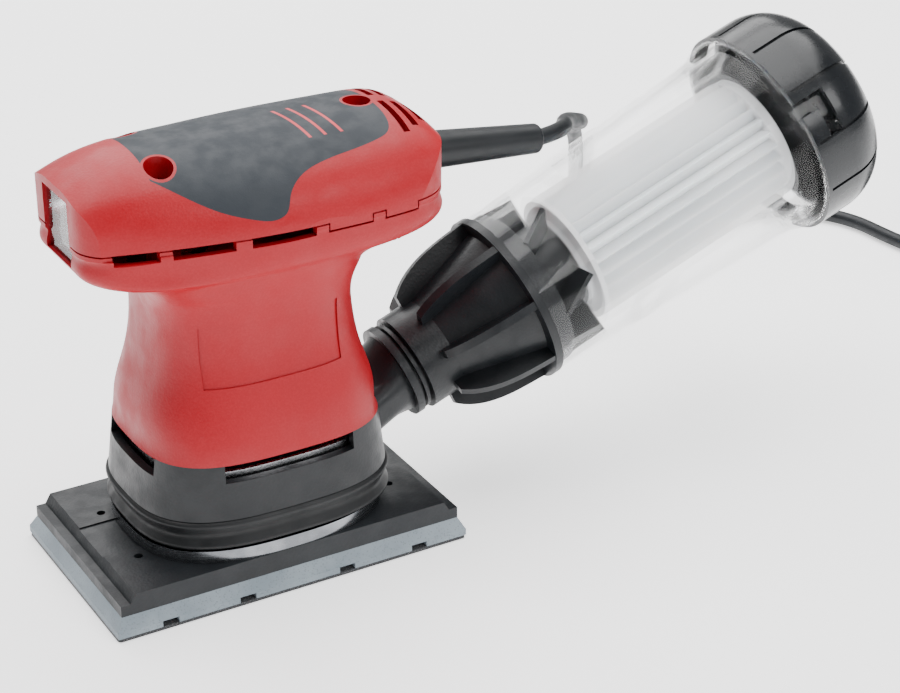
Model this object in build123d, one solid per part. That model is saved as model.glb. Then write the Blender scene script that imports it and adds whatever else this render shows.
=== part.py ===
from build123d import *
import os
from math import cos, sin, tan, radians, degrees, pi, copysign

# A palm-grip orbital sander with a rectangular pad, a mains lead and a
# push-on dust container.  Millimetres.  +X runs from the switch end to the
# lead end, +Z is up, and the origin is the centre of the sole's sanding face.

# ---------------------------------------------------------------- pad
SOLE_LENGTH = 133.0
SOLE_WIDTH = 80.0
SOLE_FLARE = 2.3            # how far the foam widens from the plate down
SOLE_FLARE_HEIGHT = 3.6     # height at which the foam is widest
HOOK_THICKNESS = 1.2
SOLE_TOP = 8.0
DUST_CHANNEL_WIDTH = 6.0
DUST_CHANNEL_HEIGHT = 2.2
DUST_CHANNEL_X = (-47.5, -19.0, 19.0, 47.5)
DUST_HOLE_DIAMETER = 8.0
DUST_HOLE_Y = 24.0

PLATE_LENGTH = 128.3
PLATE_WIDTH = 75.6
PLATE_LEDGE_TOP = 12.1
PLATE_TOP = 15.5
PLATE_RISER_BASE_INSET = 3.4
PLATE_RISER_TOP_INSET = 5.5
PLATE_CHANNEL_HALF_WIDTH = 10.6
PLATE_CHANNEL_DEPTH = 0.5
PLATE_PIN_HOLE_DIAMETER = 3.0
PLATE_PIN_HOLE_X = 48.3
PLATE_PIN_HOLE_Y = 16.3
PLATE_CENTRE_BORE = 22.0

BAND_HALF_LENGTH = 46.0
BAND_HALF_WIDTH = 37.6
BAND_POWER = 2.7
BAND_HEIGHT = 4.6
BAND_WALL = 1.2
BAND_FLANGE = 3.0

PAD_BEARING_OUTER = 26.0
PAD_BEARING_BORE = 10.0
PAD_BEARING_WIDTH = 8.0
PAD_BEARING_BALL = 4.4
PAD_BEARING_BALLS = 8
CARRIER_OUTER = 40.0
CARRIER_CUP_WALL = 3.0
CARRIER_FLANGE = 3.0
PAD_SCREW_RADIUS = 16.5
PAD_SCREW_THREAD = 3.6
PAD_SCREW_HEAD = 7.0
PAD_SCREW_HEAD_HEIGHT = 2.4

POST_DIAMETER = 9.0
POST_HEAD_DIAMETER = 12.0
POST_HEAD_HEIGHT = 3.0
POST_X = 33.5
POST_Y = 14.0
POST_SOCKET_DEPTH = 3.5

# ---------------------------------------------------------------- drive
ECCENTRICITY = 1.0
SHAFT_DIAMETER = 8.0
SHAFT_TOP = 127.0
ECCENTRIC_DIAMETER = 22.0
ECCENTRIC_BOTTOM = 29.5
ECCENTRIC_TOP = 40.0
COUNTERWEIGHT_RADIUS = 27.0
COUNTERWEIGHT_HEIGHT = 5.0
FAN_RADIUS = 28.5
FAN_DISC_THICKNESS = 1.8
FAN_BLADE_HEIGHT = 4.6
FAN_BLADES = 9
FAN_TOP_BLADES = 12
LOWER_BEARING_OUTER = 22.0
LOWER_BEARING_WIDTH = 7.0
UPPER_BEARING_OUTER = 19.0
UPPER_BEARING_WIDTH = 6.0
MOTOR_BALL = 3.6
MOTOR_BALLS = 7
ARMATURE_DIAMETER = 29.0
ARMATURE_BOTTOM = 70.0
ARMATURE_LENGTH = 30.0
ARMATURE_SLOTS = 12
WINDING_HEIGHT = 5.0
WINDING_ROUNDING = 2.0
COMMUTATOR_DIAMETER = 19.0
COMMUTATOR_LENGTH = 9.0
COMMUTATOR_BARS = 18
STATOR_DIAMETER = 51.0
STATOR_AIR_GAP = 0.6
COIL_HALF_WIDTH = 7.9
COIL_NEAR = 15.7
COIL_FAR = 19.6
COIL_ROOM = 0.5
BRUSH_WIDTH = 5.0
BRUSH_HEIGHT = 6.0
BRUSH_LENGTH = 11.0
BRUSH_CLEARANCE = 0.35

# ---------------------------------------------------------------- housing
HOUSING_CENTRE_X = ECCENTRICITY     # the motor's axis
BOOT_BOTTOM = 20.9
BOOT_WALL = 2.2
RING_BOTTOM = 32.0
RING_TOP = 52.0
RING_WALL = 3.0
RING_SLOT_BOTTOM = 45.6
RING_SIDE_SLOT_LENGTH = 48.0
RING_END_SLOT_WIDTH = 36.0
SHROUD_GAP = 0.5
SHROUD_WALL = 1.2
SHROUD_TOP = 47.8
HOUSING_WALL = 2.6
SEAM_HEIGHT = 130.0
SEAM_GROOVE = 0.6
LOWER_BULKHEAD = (54.0, 57.0)
UPPER_BULKHEAD = (117.0, 119.5)
LOWER_BULKHEAD_SHAPE = (40.8, 40.8, 33.8, 0.0, 3.1)
UPPER_BULKHEAD_SHAPE = (47.0, 51.6, 32.2, 0.10, 3.6)
STATOR_RIB_X = 14.0
STATOR_RIB_REACH = 28.2
BASE_SCREW_X = 28.0
BASE_SCREW_Y = 27.0
BASE_SCREW_BOSS = 8.0
BASE_SCREW_THREAD = 3.4
BASE_SCREW_HEAD = 6.6
BASE_SCREW_HEAD_HEIGHT = 2.6
SHELF_BOTTOM = 36.0
SHELF_TOP = 38.6
SHELF_BORE = 29.8
LABEL_LENGTH = 50.0
LABEL_BOTTOM = 78.0
LABEL_TOP = 99.5
LABEL_DEPTH = 0.5

# stations of the waist and the lower head: height, length ahead of and
# behind the motor's axis, half width, narrowing of the nose, corner power
BODY_STATIONS = (
    (52.0, 43.5, 43.5, 36.5, 0.00, 3.1),
    (62.0, 42.2, 42.2, 35.2, 0.00, 3.1),
    (72.0, 39.9, 39.9, 33.0, 0.00, 3.0),
    (82.0, 37.3, 37.3, 30.8, 0.00, 3.0),
    (92.0, 36.0, 36.0, 29.7, 0.00, 3.0),
    (102.0, 36.2, 36.6, 30.0, 0.00, 3.0),
    (109.0, 38.5, 39.5, 31.0, 0.02, 3.1),
    (114.0, 41.8, 43.4, 32.4, 0.05, 3.3),
    (117.5, 50.0, 55.5, 33.8, 0.12, 3.8),
    (119.8, 59.0, 64.0, 35.2, 0.20, 4.4),
    (122.0, 62.0, 66.3, 35.9, 0.26, 4.8),
    (126.0, 62.8, 66.7, 36.3, 0.29, 5.0),
    (SEAM_HEIGHT, 63.0, 66.5, 36.5, 0.30, 5.0),
)
HEAD_FRONT, HEAD_REAR, HEAD_HALF_WIDTH, HEAD_TAPER, HEAD_POWER = BODY_STATIONS[-1][1:]

# stations of the head's crown: place along X, height over the seam, power
CROWN_STATIONS = (
    (-63.0, 18.6, 3.2),
    (-54.0, 22.6, 2.9),
    (-42.0, 26.0, 2.4),
    (-20.0, 27.0, 2.15),
    (5.0, 27.0, 2.1),
    (30.0, 26.8, 2.1),
    (48.0, 26.2, 2.2),
    (58.0, 24.8, 2.4),
    (64.0, 21.8, 2.6),
    (68.5, 17.0, 2.7),
)
CROWN_CLIP = 0.80           # beyond this share of the length the plan rounds the ends

SCREW_WELL_DIAMETER = 9.6
SCREW_WELL_DEPTH = 10.0
SCREW_BOSS_DIAMETER = 11.4
HEAD_SCREW_THREAD = 3.9
HEAD_SCREW_HEAD = 7.6
HEAD_SCREW_HEAD_HEIGHT = 3.0
HEAD_SCREW_BITE = 8.0
HEAD_SCREWS = ((-32.2, -15.2), (-32.2, 15.2), (46.8, 0.0))

GRIP_THICKNESS = 1.6
GRIP_FRONT_X = -37.0
GRIP_REAR_X = 51.0

VENT_BOTTOM = 128.4
VENT_TOP = 131.9
VENT_SPANS = ((-53.7, -39.3), (-35.3, -15.0), (-9.7, 12.5))
REAR_VENT_GAP = 0.8         # the cover's tabs all but close the two rear slots
REAR_VENT_SLIT = 0.5
REAR_VENT_SPANS = ((16.9, 33.5), (37.9, 51.3))
TOP_VENTS = ((54.0, 19.0), (58.6, 16.5), (63.2, 12.5))     # place along X, length
TOP_VENT_WIDTH = 2.4
TOP_VENT_BRIDGE = 6.0

# ---------------------------------------------------------------- switch
WINDOW_WIDTH = 20.6
WINDOW_BOTTOM = 123.6
WINDOW_TOP = 146.2
WINDOW_RECESS = 1.4
COVER_WALL = 1.3
COVER_DEPTH = 8.0
COVER_CLEARANCE = 0.15
SWITCH_BODY_FRONT = -51.0
SWITCH_BODY_DEPTH = 12.0
SWITCH_BODY_WIDTH = 13.6
SWITCH_BODY_HEIGHT = 20.0
ROCKER_WIDTH = 9.6
ROCKER_HEIGHT = 14.0
ROCKER_DEPTH = 7.0
ROCKER_DISH = 1.5
ROCKER_PIVOT_X = -48.0
ROCKER_TILT = 7.0
ROCKER_PIVOT_DIAMETER = 2.6
ROCKER_PIVOT_CLEARANCE = 0.08

# ---------------------------------------------------------------- dial
DIAL_RADIUS = 9.0
DIAL_THICKNESS = 4.6
DIAL_BOTTOM = 117.0
DIAL_X = 44.6
DIAL_Y = -27.5
DIAL_GRIPS = 30
DIAL_SPINDLE = 3.0
BOARD_THICKNESS = 1.6
BOARD_LENGTH = 30.0
BOARD_HEIGHT = 15.0

# ---------------------------------------------------------------- dust path
DUST_TILT = 20.7            # the container's axis climbs this many degrees
DUST_X = 60.2
DUST_Z = 50.6
PORT_RADIUS = 15.0
PORT_WALL = 2.2
PORT_COLLAR_RADIUS = 17.5
PORT_COLLAR_FROM = -1.6
PORT_COLLAR_TO = 1.2
PORT_END = 17.0
PORT_ROOT_WIDTH = 34.0
PORT_ROOT_HEIGHT = 17.0
SEAL_RING_SECTION = 1.6
SEAL_RING_AT = (7.0, 12.0)
PORT_RIDGE_RADIUS = 16.9
PORT_RIDGE_AT = 2.6
PORT_RIDGE_WIDTH = 1.3
PORT_FIT = 0.08
SOCKET_START = 5.0
SOCKET_RADIUS = 18.3
SOCKET_END = 17.5
CONE_END = 48.0
CONE_END_RADIUS = 27.5
FUNNEL_WALL = 2.0
FLANGE_RADIUS = 32.6
FLANGE_END = 51.0
FINS = 8
FIN_THICKNESS = 3.0
FIN_START = 13.4
FIN_START_RADIUS = 22.4
FUNNEL_SPIGOT_END = 57.0
COLLAR_RADIUS = 17.5
COLLAR_END = 74.0
COLLAR_FLOOR_RADIUS = 28.4
VANES = 6
VANE_RADIUS = 29.4
VANE_THICKNESS = 1.8
VANE_LENGTH = 16.5
VANE_MIDDLE = 65.5
VANE_SLANT = 32.0
TUBE_WALL = 1.8
TUBE_START = 51.2
TUBE_START_RADIUS = 32.3
TUBE_FLARE_START = 158.0
TUBE_FLARE_RADIUS = 37.2
TUBE_RIM = 167.0
TUBE_RIM_RADIUS = 39.7
TUBE_RIM_THICKNESS = 1.6
TUBE_NECK_RADIUS = 38.4
TUBE_NECK_END = 182.0
TUBE_PIN_DIAMETER = 4.4
TUBE_PIN_ANGLE = 71.5
TUBE_PIN_AT = 177.0
FILTER_START = 76.0
FILTER_END = 163.0
FILTER_OUTER = 25.0
FILTER_INNER = 19.0
FILTER_PLEATS = 28
FILTER_CORE_RADIUS = 17.6
FILTER_RING_THICKNESS = 2.0
FILTER_RING_RADIUS = 24.6
CAP_START = 167.2
CAP_END = 201.0
CAP_RADIUS = 41.0
CAP_WALL = 2.0
CAP_EDGE_RADIUS = 20.0
CAP_GROOVES = 12
CAP_GROOVE_WIDTH = 1.4
CAP_GROOVE_DEPTH = 0.9
CAP_SLOT_ANGLE = 55.0
CAP_SLOT_WIDTH = 5.6
BAYONETS = 3

# ---------------------------------------------------------------- lead
CORD_DIAMETER = 6.0
RELIEF_START_X = 60.0
RELIEF_START_Z = 134.0
RELIEF_DROP = 5.96          # degrees below the horizontal
RELIEF_LENGTH = 59.1
RELIEF_ROOT_RADIUS = 6.8
RELIEF_TIP_RADIUS = 5.3
RELIEF_TIP_ROUNDING = 1.4
RELIEF_FLANGE_RADIUS = 8.5
RELIEF_FLANGE_LENGTH = 3.0
RELIEF_SEAT_X = (58.0, 66.0)
RELIEF_SEAT_HALF = 11.0
CORD_ROUTE_AFTER_RELIEF = (
    (132.5, 1.6, 127.9),
    (146.0, 8.6, 129.9),
    (161.0, 26.5, 129.0),
    (172.5, 46.0, 114.0),
    (181.0, 66.0, 90.0),
    (190.5, 84.0, 62.0),
    (206.0, 100.0, 38.0),
    (231.0, 115.0, 14.5),
    (263.0, 127.0, 4.4),
    (299.0, 133.0, 3.2),
    (335.0, 131.0, 3.2),
    (355.0, 108.0, 3.2),
    (357.5, 78.0, 3.2),
    (364.0, 50.0, 3.2),
)
COIL_MEAN_DIAMETER = 72.0
COIL_SECTION = 25.0
COIL_BOTTOM = 1.2
COIL_X = 405.0
COIL_Y = 40.0
TIE_WIDTH = 9.0
TIE_THICKNESS = 1.0
TIE_GAP = 0.1
PLUG_X = 441.0
PLUG_FRONT_Y = 78.0
PLUG_LENGTH = 36.0
PLUG_WIDTH = 34.0
PLUG_THICKNESS = 25.0
PLUG_NECK_LENGTH = 22.0
PLUG_NECK_RADIUS = 5.2
PLUG_PIN_DIAMETER = 4.8
PLUG_PIN_LENGTH = 19.0
PLUG_PIN_SPACING = 19.0

PLAN_POINTS = 32
CUT = 400.0                 # larger than any piece, for cutting tools


def plan_outline(front, rear, half_width, taper, power, inset=0.0, centre=HOUSING_CENTRE_X):
    """Closed plan curve: a rounded oblong whose front may narrow to a squarer nose."""
    points = []
    for k in range(PLAN_POINTS):
        turn = 2 * pi * k / PLAN_POINTS
        order = power if cos(turn) > 0 else power * (1 + 2 * taper)
        radius = (abs(cos(turn)) ** order + abs(sin(turn)) ** order) ** (-1 / order)
        along = radius * cos(turn)
        across = radius * sin(turn)
        reach = (rear if along > 0 else front) - inset
        narrowing = 1 - taper * max(0.0, -along) ** 1.15
        points.append((centre + reach * along, (half_width * narrowing - inset) * across))
    return Spline(*points, periodic=True)


def plan_face(z, *shape, **placing):
    return Pos(0, 0, z) * make_face(plan_outline(*shape, **placing))


def plan_prism(low, high, *shape, **placing):
    return extrude(plan_face(low, *shape, **placing), high - low)


def cylinder(radius, low, high, x=0.0, y=0.0):
    return Pos(x, y, (low + high) / 2) * Cylinder(radius, high - low)


def block(x0, x1, y0, y1, z0, z1):
    return Pos((x0 + x1) / 2, (y0 + y1) / 2, (z0 + z1) / 2) * Box(x1 - x0, y1 - y0, z1 - z0)


def ring(outer, inner, low, high, x=0.0, y=0.0):
    return cylinder(outer, low, high, x, y) - cylinder(inner, low - 1, high + 1, x, y)


def revolved(*profile):
    """Solid of revolution about Z from (radius, height) corners."""
    outline = Polyline(*[(r, 0, z) for r, z in profile], close=True)
    return revolve(make_face(outline), Axis.Z, 360)


DUST_AXIS = Vector(cos(radians(DUST_TILT)), 0, sin(radians(DUST_TILT)))
DUST_PLANE = Plane(
    origin=(DUST_X, 0, DUST_Z),
    x_dir=(-sin(radians(DUST_TILT)), 0, cos(radians(DUST_TILT))),
    z_dir=DUST_AXIS,
)


def on_dust_axis(shape):
    """Moves a piece built about Z on to the container's axis."""
    return DUST_PLANE.location * shape


# ======================================================== pad
def sole_profile(z0, z1, flare0, flare1):
    """Foam slab that widens by the two flares between two heights."""
    low = Pos(0, 0, z0) * Rectangle(PLATE_LENGTH + 2 * flare0, PLATE_WIDTH + 2 * flare0)
    high = Pos(0, 0, z1) * Rectangle(PLATE_LENGTH + 2 * flare1, PLATE_WIDTH + 2 * flare1)
    return loft([low.face(), high.face()], ruled=True)


def dust_holes(low, high):
    spots = [(x, y) for x in DUST_CHANNEL_X for y in (-DUST_HOLE_Y, DUST_HOLE_Y)]
    return [cylinder(DUST_HOLE_DIAMETER / 2, low, high, x, y) for x, y in spots]


def make_hook_layer():
    layer = block(-SOLE_LENGTH / 2, SOLE_LENGTH / 2, -SOLE_WIDTH / 2, SOLE_WIDTH / 2, 0, HOOK_THICKNESS)
    layer = fillet(layer.edges().filter_by(Axis.Z), 1.5)
    layer -= dust_holes(-1, HOOK_THICKNESS + 1)
    return layer - cylinder(PLATE_CENTRE_BORE / 2, -1, HOOK_THICKNESS + 1)


def make_sole_foam():
    long = SOLE_LENGTH / 2
    wide = SOLE_WIDTH / 2
    body = block(-long, long, -wide, wide, HOOK_THICKNESS, SOLE_FLARE_HEIGHT)
    body += sole_profile(SOLE_FLARE_HEIGHT, SOLE_TOP, SOLE_FLARE, 0.0)
    for x in DUST_CHANNEL_X:
        body -= block(
            x - DUST_CHANNEL_WIDTH / 2, x + DUST_CHANNEL_WIDTH / 2, -SOLE_WIDTH, SOLE_WIDTH,
            HOOK_THICKNESS - 1, HOOK_THICKNESS + DUST_CHANNEL_HEIGHT,
        )
    body -= dust_holes(HOOK_THICKNESS - 1, SOLE_TOP + 1)
    return body - cylinder(PLATE_CENTRE_BORE / 2, 0, SOLE_TOP + 1)


def make_pad_plate():
    half_length = PLATE_LENGTH / 2
    half_width = PLATE_WIDTH / 2
    base_x = half_length - PLATE_RISER_BASE_INSET
    top_x = half_length - PLATE_RISER_TOP_INSET
    side = Polyline(
        (-half_length, 0, SOLE_TOP),
        (half_length, 0, SOLE_TOP),
        (half_length, 0, PLATE_LEDGE_TOP),
        (base_x, 0, PLATE_LEDGE_TOP),
        (top_x, 0, PLATE_TOP),
        (-top_x, 0, PLATE_TOP),
        (-base_x, 0, PLATE_LEDGE_TOP),
        (-half_length, 0, PLATE_LEDGE_TOP),
        close=True,
    )
    plate = extrude(make_face(side), half_width, both=True)
    plate -= block(
        -CUT, CUT, -PLATE_CHANNEL_HALF_WIDTH, PLATE_CHANNEL_HALF_WIDTH,
        PLATE_TOP - PLATE_CHANNEL_DEPTH, PLATE_TOP + 1,
    )
    for x in (-PLATE_PIN_HOLE_X, PLATE_PIN_HOLE_X):
        for y in (-PLATE_PIN_HOLE_Y, PLATE_PIN_HOLE_Y):
            plate -= cylinder(PLATE_PIN_HOLE_DIAMETER / 2, PLATE_LEDGE_TOP, PLATE_TOP + 1, x, y)
    for x, y in post_places():
        plate -= cylinder(post_socket_radius(), PLATE_TOP - POST_SOCKET_DEPTH, PLATE_TOP + 1, x, y)
    for x, y in pad_screw_places():
        plate -= cylinder(PAD_SCREW_THREAD / 2, SOLE_TOP - 1, PLATE_TOP + 1, x, y)
        plate -= cylinder(PAD_SCREW_HEAD / 2, SOLE_TOP - 1, SOLE_TOP + PAD_SCREW_HEAD_HEIGHT, x, y)
    for x in (DUST_CHANNEL_X[1], DUST_CHANNEL_X[2]):
        for y in (-DUST_HOLE_Y, DUST_HOLE_Y):
            plate -= cylinder(DUST_HOLE_DIAMETER / 2, SOLE_TOP - 1, PLATE_TOP + 1, x, y)
    return plate - cylinder(PLATE_CENTRE_BORE / 2, SOLE_TOP - 1, PLATE_TOP + 1)


def post_places():
    return [(sx * POST_X, sy * POST_Y) for sx in (-1, 1) for sy in (-1, 1)]


def post_socket_radius():
    return POST_DIAMETER / 2 + ECCENTRICITY * 2 + 0.4


def pad_screw_places():
    return [
        (PAD_SCREW_RADIUS * cos(radians(a)), PAD_SCREW_RADIUS * sin(radians(a)))
        for a in (0, 90, 180, 270)
    ]


def make_pad_band():
    top = PLATE_TOP + BAND_HEIGHT
    shape = (BAND_HALF_LENGTH, BAND_HALF_LENGTH, BAND_HALF_WIDTH, 0.0, BAND_POWER)
    band = plan_prism(PLATE_TOP, top, *shape, centre=0.0)
    band -= plan_prism(PLATE_TOP + BAND_WALL, top - BAND_WALL, *shape, inset=BAND_WALL, centre=0.0)
    band -= plan_prism(PLATE_TOP - 1, top + 1, *shape, inset=BAND_FLANGE, centre=0.0)
    return band


CARRIER_FLOOR = PLATE_TOP + CARRIER_FLANGE
PAD_BEARING_LOW = CARRIER_FLOOR
PAD_BEARING_HIGH = PAD_BEARING_LOW + PAD_BEARING_WIDTH


def make_bearing_carrier():
    """Light-alloy cup that holds the pad bearing and is screwed to the plate."""
    carrier = cylinder(CARRIER_OUTER / 2, PLATE_TOP, CARRIER_FLOOR)
    carrier += cylinder(PAD_BEARING_OUTER / 2 + CARRIER_CUP_WALL, PLATE_TOP, PAD_BEARING_HIGH)
    carrier -= cylinder(PAD_BEARING_OUTER / 2, PAD_BEARING_LOW, PAD_BEARING_HIGH + 1)
    carrier -= cylinder(PLATE_CENTRE_BORE / 2, PLATE_TOP - 1, PAD_BEARING_LOW + 1)
    for x, y in pad_screw_places():
        carrier -= cylinder(PAD_SCREW_THREAD / 2, PLATE_TOP - 1, CARRIER_FLOOR + 0.01, x, y)
    return carrier


def make_pad_screws():
    screws = []
    for x, y in pad_screw_places():
        head = cylinder(PAD_SCREW_HEAD / 2, SOLE_TOP, SOLE_TOP + PAD_SCREW_HEAD_HEIGHT, x, y)
        shank = cylinder(PAD_SCREW_THREAD / 2, SOLE_TOP, CARRIER_FLOOR, x, y)
        screws.append(head + shank)
    return Compound(children=screws)


def race_pair(outer, bore, low, high, ball, x):
    """Outer race, inner race and their ball track radius, all about one axis."""
    track = (outer + bore) / 4
    outer_race = ring(outer / 2, track + ball * 0.28, low, high, x)
    inner_race = ring(track - ball * 0.28, bore / 2, low, high, x)
    groove = Pos(x, 0, (low + high) / 2) * Torus(track, ball / 2 + 0.03)
    return outer_race - groove, inner_race - groove, track


def ball_set(track, ball, count, z, x):
    return [
        Pos(x + track * cos(2 * pi * k / count), track * sin(2 * pi * k / count), z) * Sphere(ball / 2)
        for k in range(count)
    ]


def make_pad_bearing():
    outer_race, inner_race, track = race_pair(
        PAD_BEARING_OUTER, PAD_BEARING_BORE, PAD_BEARING_LOW, PAD_BEARING_HIGH, PAD_BEARING_BALL, 0.0
    )
    middle = (PAD_BEARING_LOW + PAD_BEARING_HIGH) / 2
    balls = Compound(children=ball_set(track, PAD_BEARING_BALL, PAD_BEARING_BALLS, middle, 0.0))
    return outer_race, inner_race, balls


# ======================================================== drive
def make_eccentric():
    """Steel hub on the shaft whose lower journal stands off the motor's axis."""
    hub = cylinder(ECCENTRIC_DIAMETER / 2, ECCENTRIC_BOTTOM, ECCENTRIC_TOP, HOUSING_CENTRE_X)
    journal = cylinder(PAD_BEARING_BORE / 2, PAD_BEARING_LOW, ECCENTRIC_BOTTOM)
    shoulder = cylinder(PAD_BEARING_BORE / 2 + 1.6, PAD_BEARING_HIGH, ECCENTRIC_BOTTOM)
    body = hub + journal + shoulder
    body -= cylinder(SHAFT_DIAMETER / 2, ECCENTRIC_BOTTOM + 2, ECCENTRIC_TOP + 1, HOUSING_CENTRE_X)
    return body - cylinder(2.5, PAD_BEARING_LOW - 1, ECCENTRIC_BOTTOM - 1)


def make_counterweight():
    low = ECCENTRIC_BOTTOM + 1.5
    high = low + COUNTERWEIGHT_HEIGHT
    sector = ring(COUNTERWEIGHT_RADIUS, ECCENTRIC_DIAMETER / 2, low, high, HOUSING_CENTRE_X)
    keep = block(HOUSING_CENTRE_X + 3, CUT, -CUT, CUT, 0, CUT)
    return sector & keep


def make_pad_bolt():
    washer = cylinder(PAD_BEARING_BORE / 2 + 3.2, PAD_BEARING_LOW - 1.6, PAD_BEARING_LOW)
    head = extrude(Pos(0, 0, PAD_BEARING_LOW - 6.6) * RegularPolygon(4.6, 6), 5.0)
    shank = cylinder(2.5, PAD_BEARING_LOW - 2, ECCENTRIC_BOTTOM - 1)
    return washer + head + shank


def make_rotor_shaft():
    return cylinder(SHAFT_DIAMETER / 2, ECCENTRIC_BOTTOM + 2, SHAFT_TOP, HOUSING_CENTRE_X)


FAN_DISC_LOW = ECCENTRIC_TOP
FAN_DISC_HIGH = FAN_DISC_LOW + FAN_DISC_THICKNESS


def make_fan():
    """One moulding: dust blades under the disc, motor cooling blades over it."""
    fan = cylinder(FAN_RADIUS, FAN_DISC_LOW, FAN_DISC_HIGH)
    fan += cylinder(SHAFT_DIAMETER, FAN_DISC_LOW, FAN_DISC_HIGH + FAN_BLADE_HEIGHT)
    inner = ECCENTRIC_DIAMETER / 2 + 4.0
    for k in range(FAN_BLADES):
        blade = block(inner + 1.5, FAN_RADIUS - 0.4, -0.8, 0.8, FAN_DISC_LOW - 2.6, FAN_DISC_LOW + 0.5)
        fan += Rot(0, 0, 360 * k / FAN_BLADES) * blade
    for k in range(FAN_TOP_BLADES):
        blade = block(
            SHAFT_DIAMETER - 0.5, FAN_RADIUS - 0.6, -0.8, 0.8,
            FAN_DISC_HIGH - 0.5, FAN_DISC_HIGH + FAN_BLADE_HEIGHT,
        )
        fan += Rot(0, 0, 360 * k / FAN_TOP_BLADES) * blade
    fan -= cylinder(SHAFT_DIAMETER / 2, FAN_DISC_LOW - 1, FAN_DISC_HIGH + FAN_BLADE_HEIGHT + 1)
    return Pos(HOUSING_CENTRE_X, 0, 0) * fan


def make_motor_bearing(outer, width, low):
    outer_race, inner_race, track = race_pair(
        outer, SHAFT_DIAMETER, low, low + width, MOTOR_BALL, HOUSING_CENTRE_X
    )
    inner_race = inner_race & ring(outer, SHAFT_DIAMETER / 2, low, low + width, HOUSING_CENTRE_X)
    balls = ball_set(track, MOTOR_BALL, MOTOR_BALLS, low + width / 2, HOUSING_CENTRE_X)
    return outer_race, inner_race, balls


def make_armature_core():
    top = ARMATURE_BOTTOM + ARMATURE_LENGTH
    core = ring(ARMATURE_DIAMETER / 2, SHAFT_DIAMETER / 2, ARMATURE_BOTTOM, top)
    for k in range(ARMATURE_SLOTS):
        slot = block(
            ARMATURE_DIAMETER / 2 - 3.2, ARMATURE_DIAMETER, -0.9, 0.9,
            ARMATURE_BOTTOM - 1, top + 1,
        )
        core -= Rot(0, 0, 360 * k / ARMATURE_SLOTS) * slot
    return Pos(HOUSING_CENTRE_X, 0, 0) * core


def make_armature_windings():
    top = ARMATURE_BOTTOM + ARMATURE_LENGTH
    outer = ARMATURE_DIAMETER / 2 - 1.2
    lower = ring(outer, SHAFT_DIAMETER / 2, ARMATURE_BOTTOM - WINDING_HEIGHT, ARMATURE_BOTTOM)
    upper = ring(outer, SHAFT_DIAMETER / 2, top, top + WINDING_HEIGHT)
    low_rim = lower.edges().filter_by(GeomType.CIRCLE).group_by(Axis.Z)[0].sort_by(SortBy.RADIUS)[-1]
    high_rim = upper.edges().filter_by(GeomType.CIRCLE).group_by(Axis.Z)[-1].sort_by(SortBy.RADIUS)[-1]
    lower = fillet(low_rim, WINDING_ROUNDING)
    upper = fillet(high_rim, WINDING_ROUNDING)
    return Pos(HOUSING_CENTRE_X, 0, 0) * Compound(children=[lower, upper])


COMMUTATOR_LOW = ARMATURE_BOTTOM + ARMATURE_LENGTH + WINDING_HEIGHT + 1.0
COMMUTATOR_HIGH = COMMUTATOR_LOW + COMMUTATOR_LENGTH


def make_commutator():
    drum = ring(COMMUTATOR_DIAMETER / 2, SHAFT_DIAMETER / 2, COMMUTATOR_LOW, COMMUTATOR_HIGH)
    for k in range(COMMUTATOR_BARS):
        groove = block(
            COMMUTATOR_DIAMETER / 2 - 1.0, COMMUTATOR_DIAMETER, -0.2, 0.2,
            COMMUTATOR_LOW - 1, COMMUTATOR_HIGH + 1,
        )
        drum -= Rot(0, 0, 360 * k / COMMUTATOR_BARS) * groove
    return Pos(HOUSING_CENTRE_X, 0, 0) * drum


def make_stator_core():
    """Laminated two-pole field pack with flats on its long sides."""
    top = ARMATURE_BOTTOM + ARMATURE_LENGTH
    bore = ARMATURE_DIAMETER / 2 + STATOR_AIR_GAP
    pack = ring(STATOR_DIAMETER / 2, bore, ARMATURE_BOTTOM, top)
    for side in (-1, 1):
        near, far = sorted((side * (COIL_NEAR - COIL_ROOM), side * (COIL_FAR + COIL_ROOM)))
        pack -= block(
            -COIL_HALF_WIDTH - COIL_ROOM, COIL_HALF_WIDTH + COIL_ROOM, near, far,
            ARMATURE_BOTTOM - 1, top + 1,
        )
    return Pos(HOUSING_CENTRE_X, 0, 0) * pack


def make_field_coils():
    top = ARMATURE_BOTTOM + ARMATURE_LENGTH
    coils = []
    for side in (-1, 1):
        near, far = sorted((side * COIL_NEAR, side * COIL_FAR))
        coils.append(block(-COIL_HALF_WIDTH, COIL_HALF_WIDTH, near, far, ARMATURE_BOTTOM - 4, top + 4))
    return Pos(HOUSING_CENTRE_X, 0, 0) * Compound(children=coils)


BRUSH_MIDDLE = (COMMUTATOR_LOW + COMMUTATOR_HIGH) / 2
BRUSH_START = COMMUTATOR_DIAMETER / 2 + BRUSH_CLEARANCE


def make_brushes():
    brushes = []
    for side in (-1, 1):
        near = side * BRUSH_START
        far = side * (BRUSH_START + BRUSH_LENGTH)
        brushes.append(block(
            HOUSING_CENTRE_X + min(near, far), HOUSING_CENTRE_X + max(near, far),
            -BRUSH_WIDTH / 2, BRUSH_WIDTH / 2,
            BRUSH_MIDDLE - BRUSH_HEIGHT / 2, BRUSH_MIDDLE + BRUSH_HEIGHT / 2,
        ))
    return Compound(children=brushes)


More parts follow.
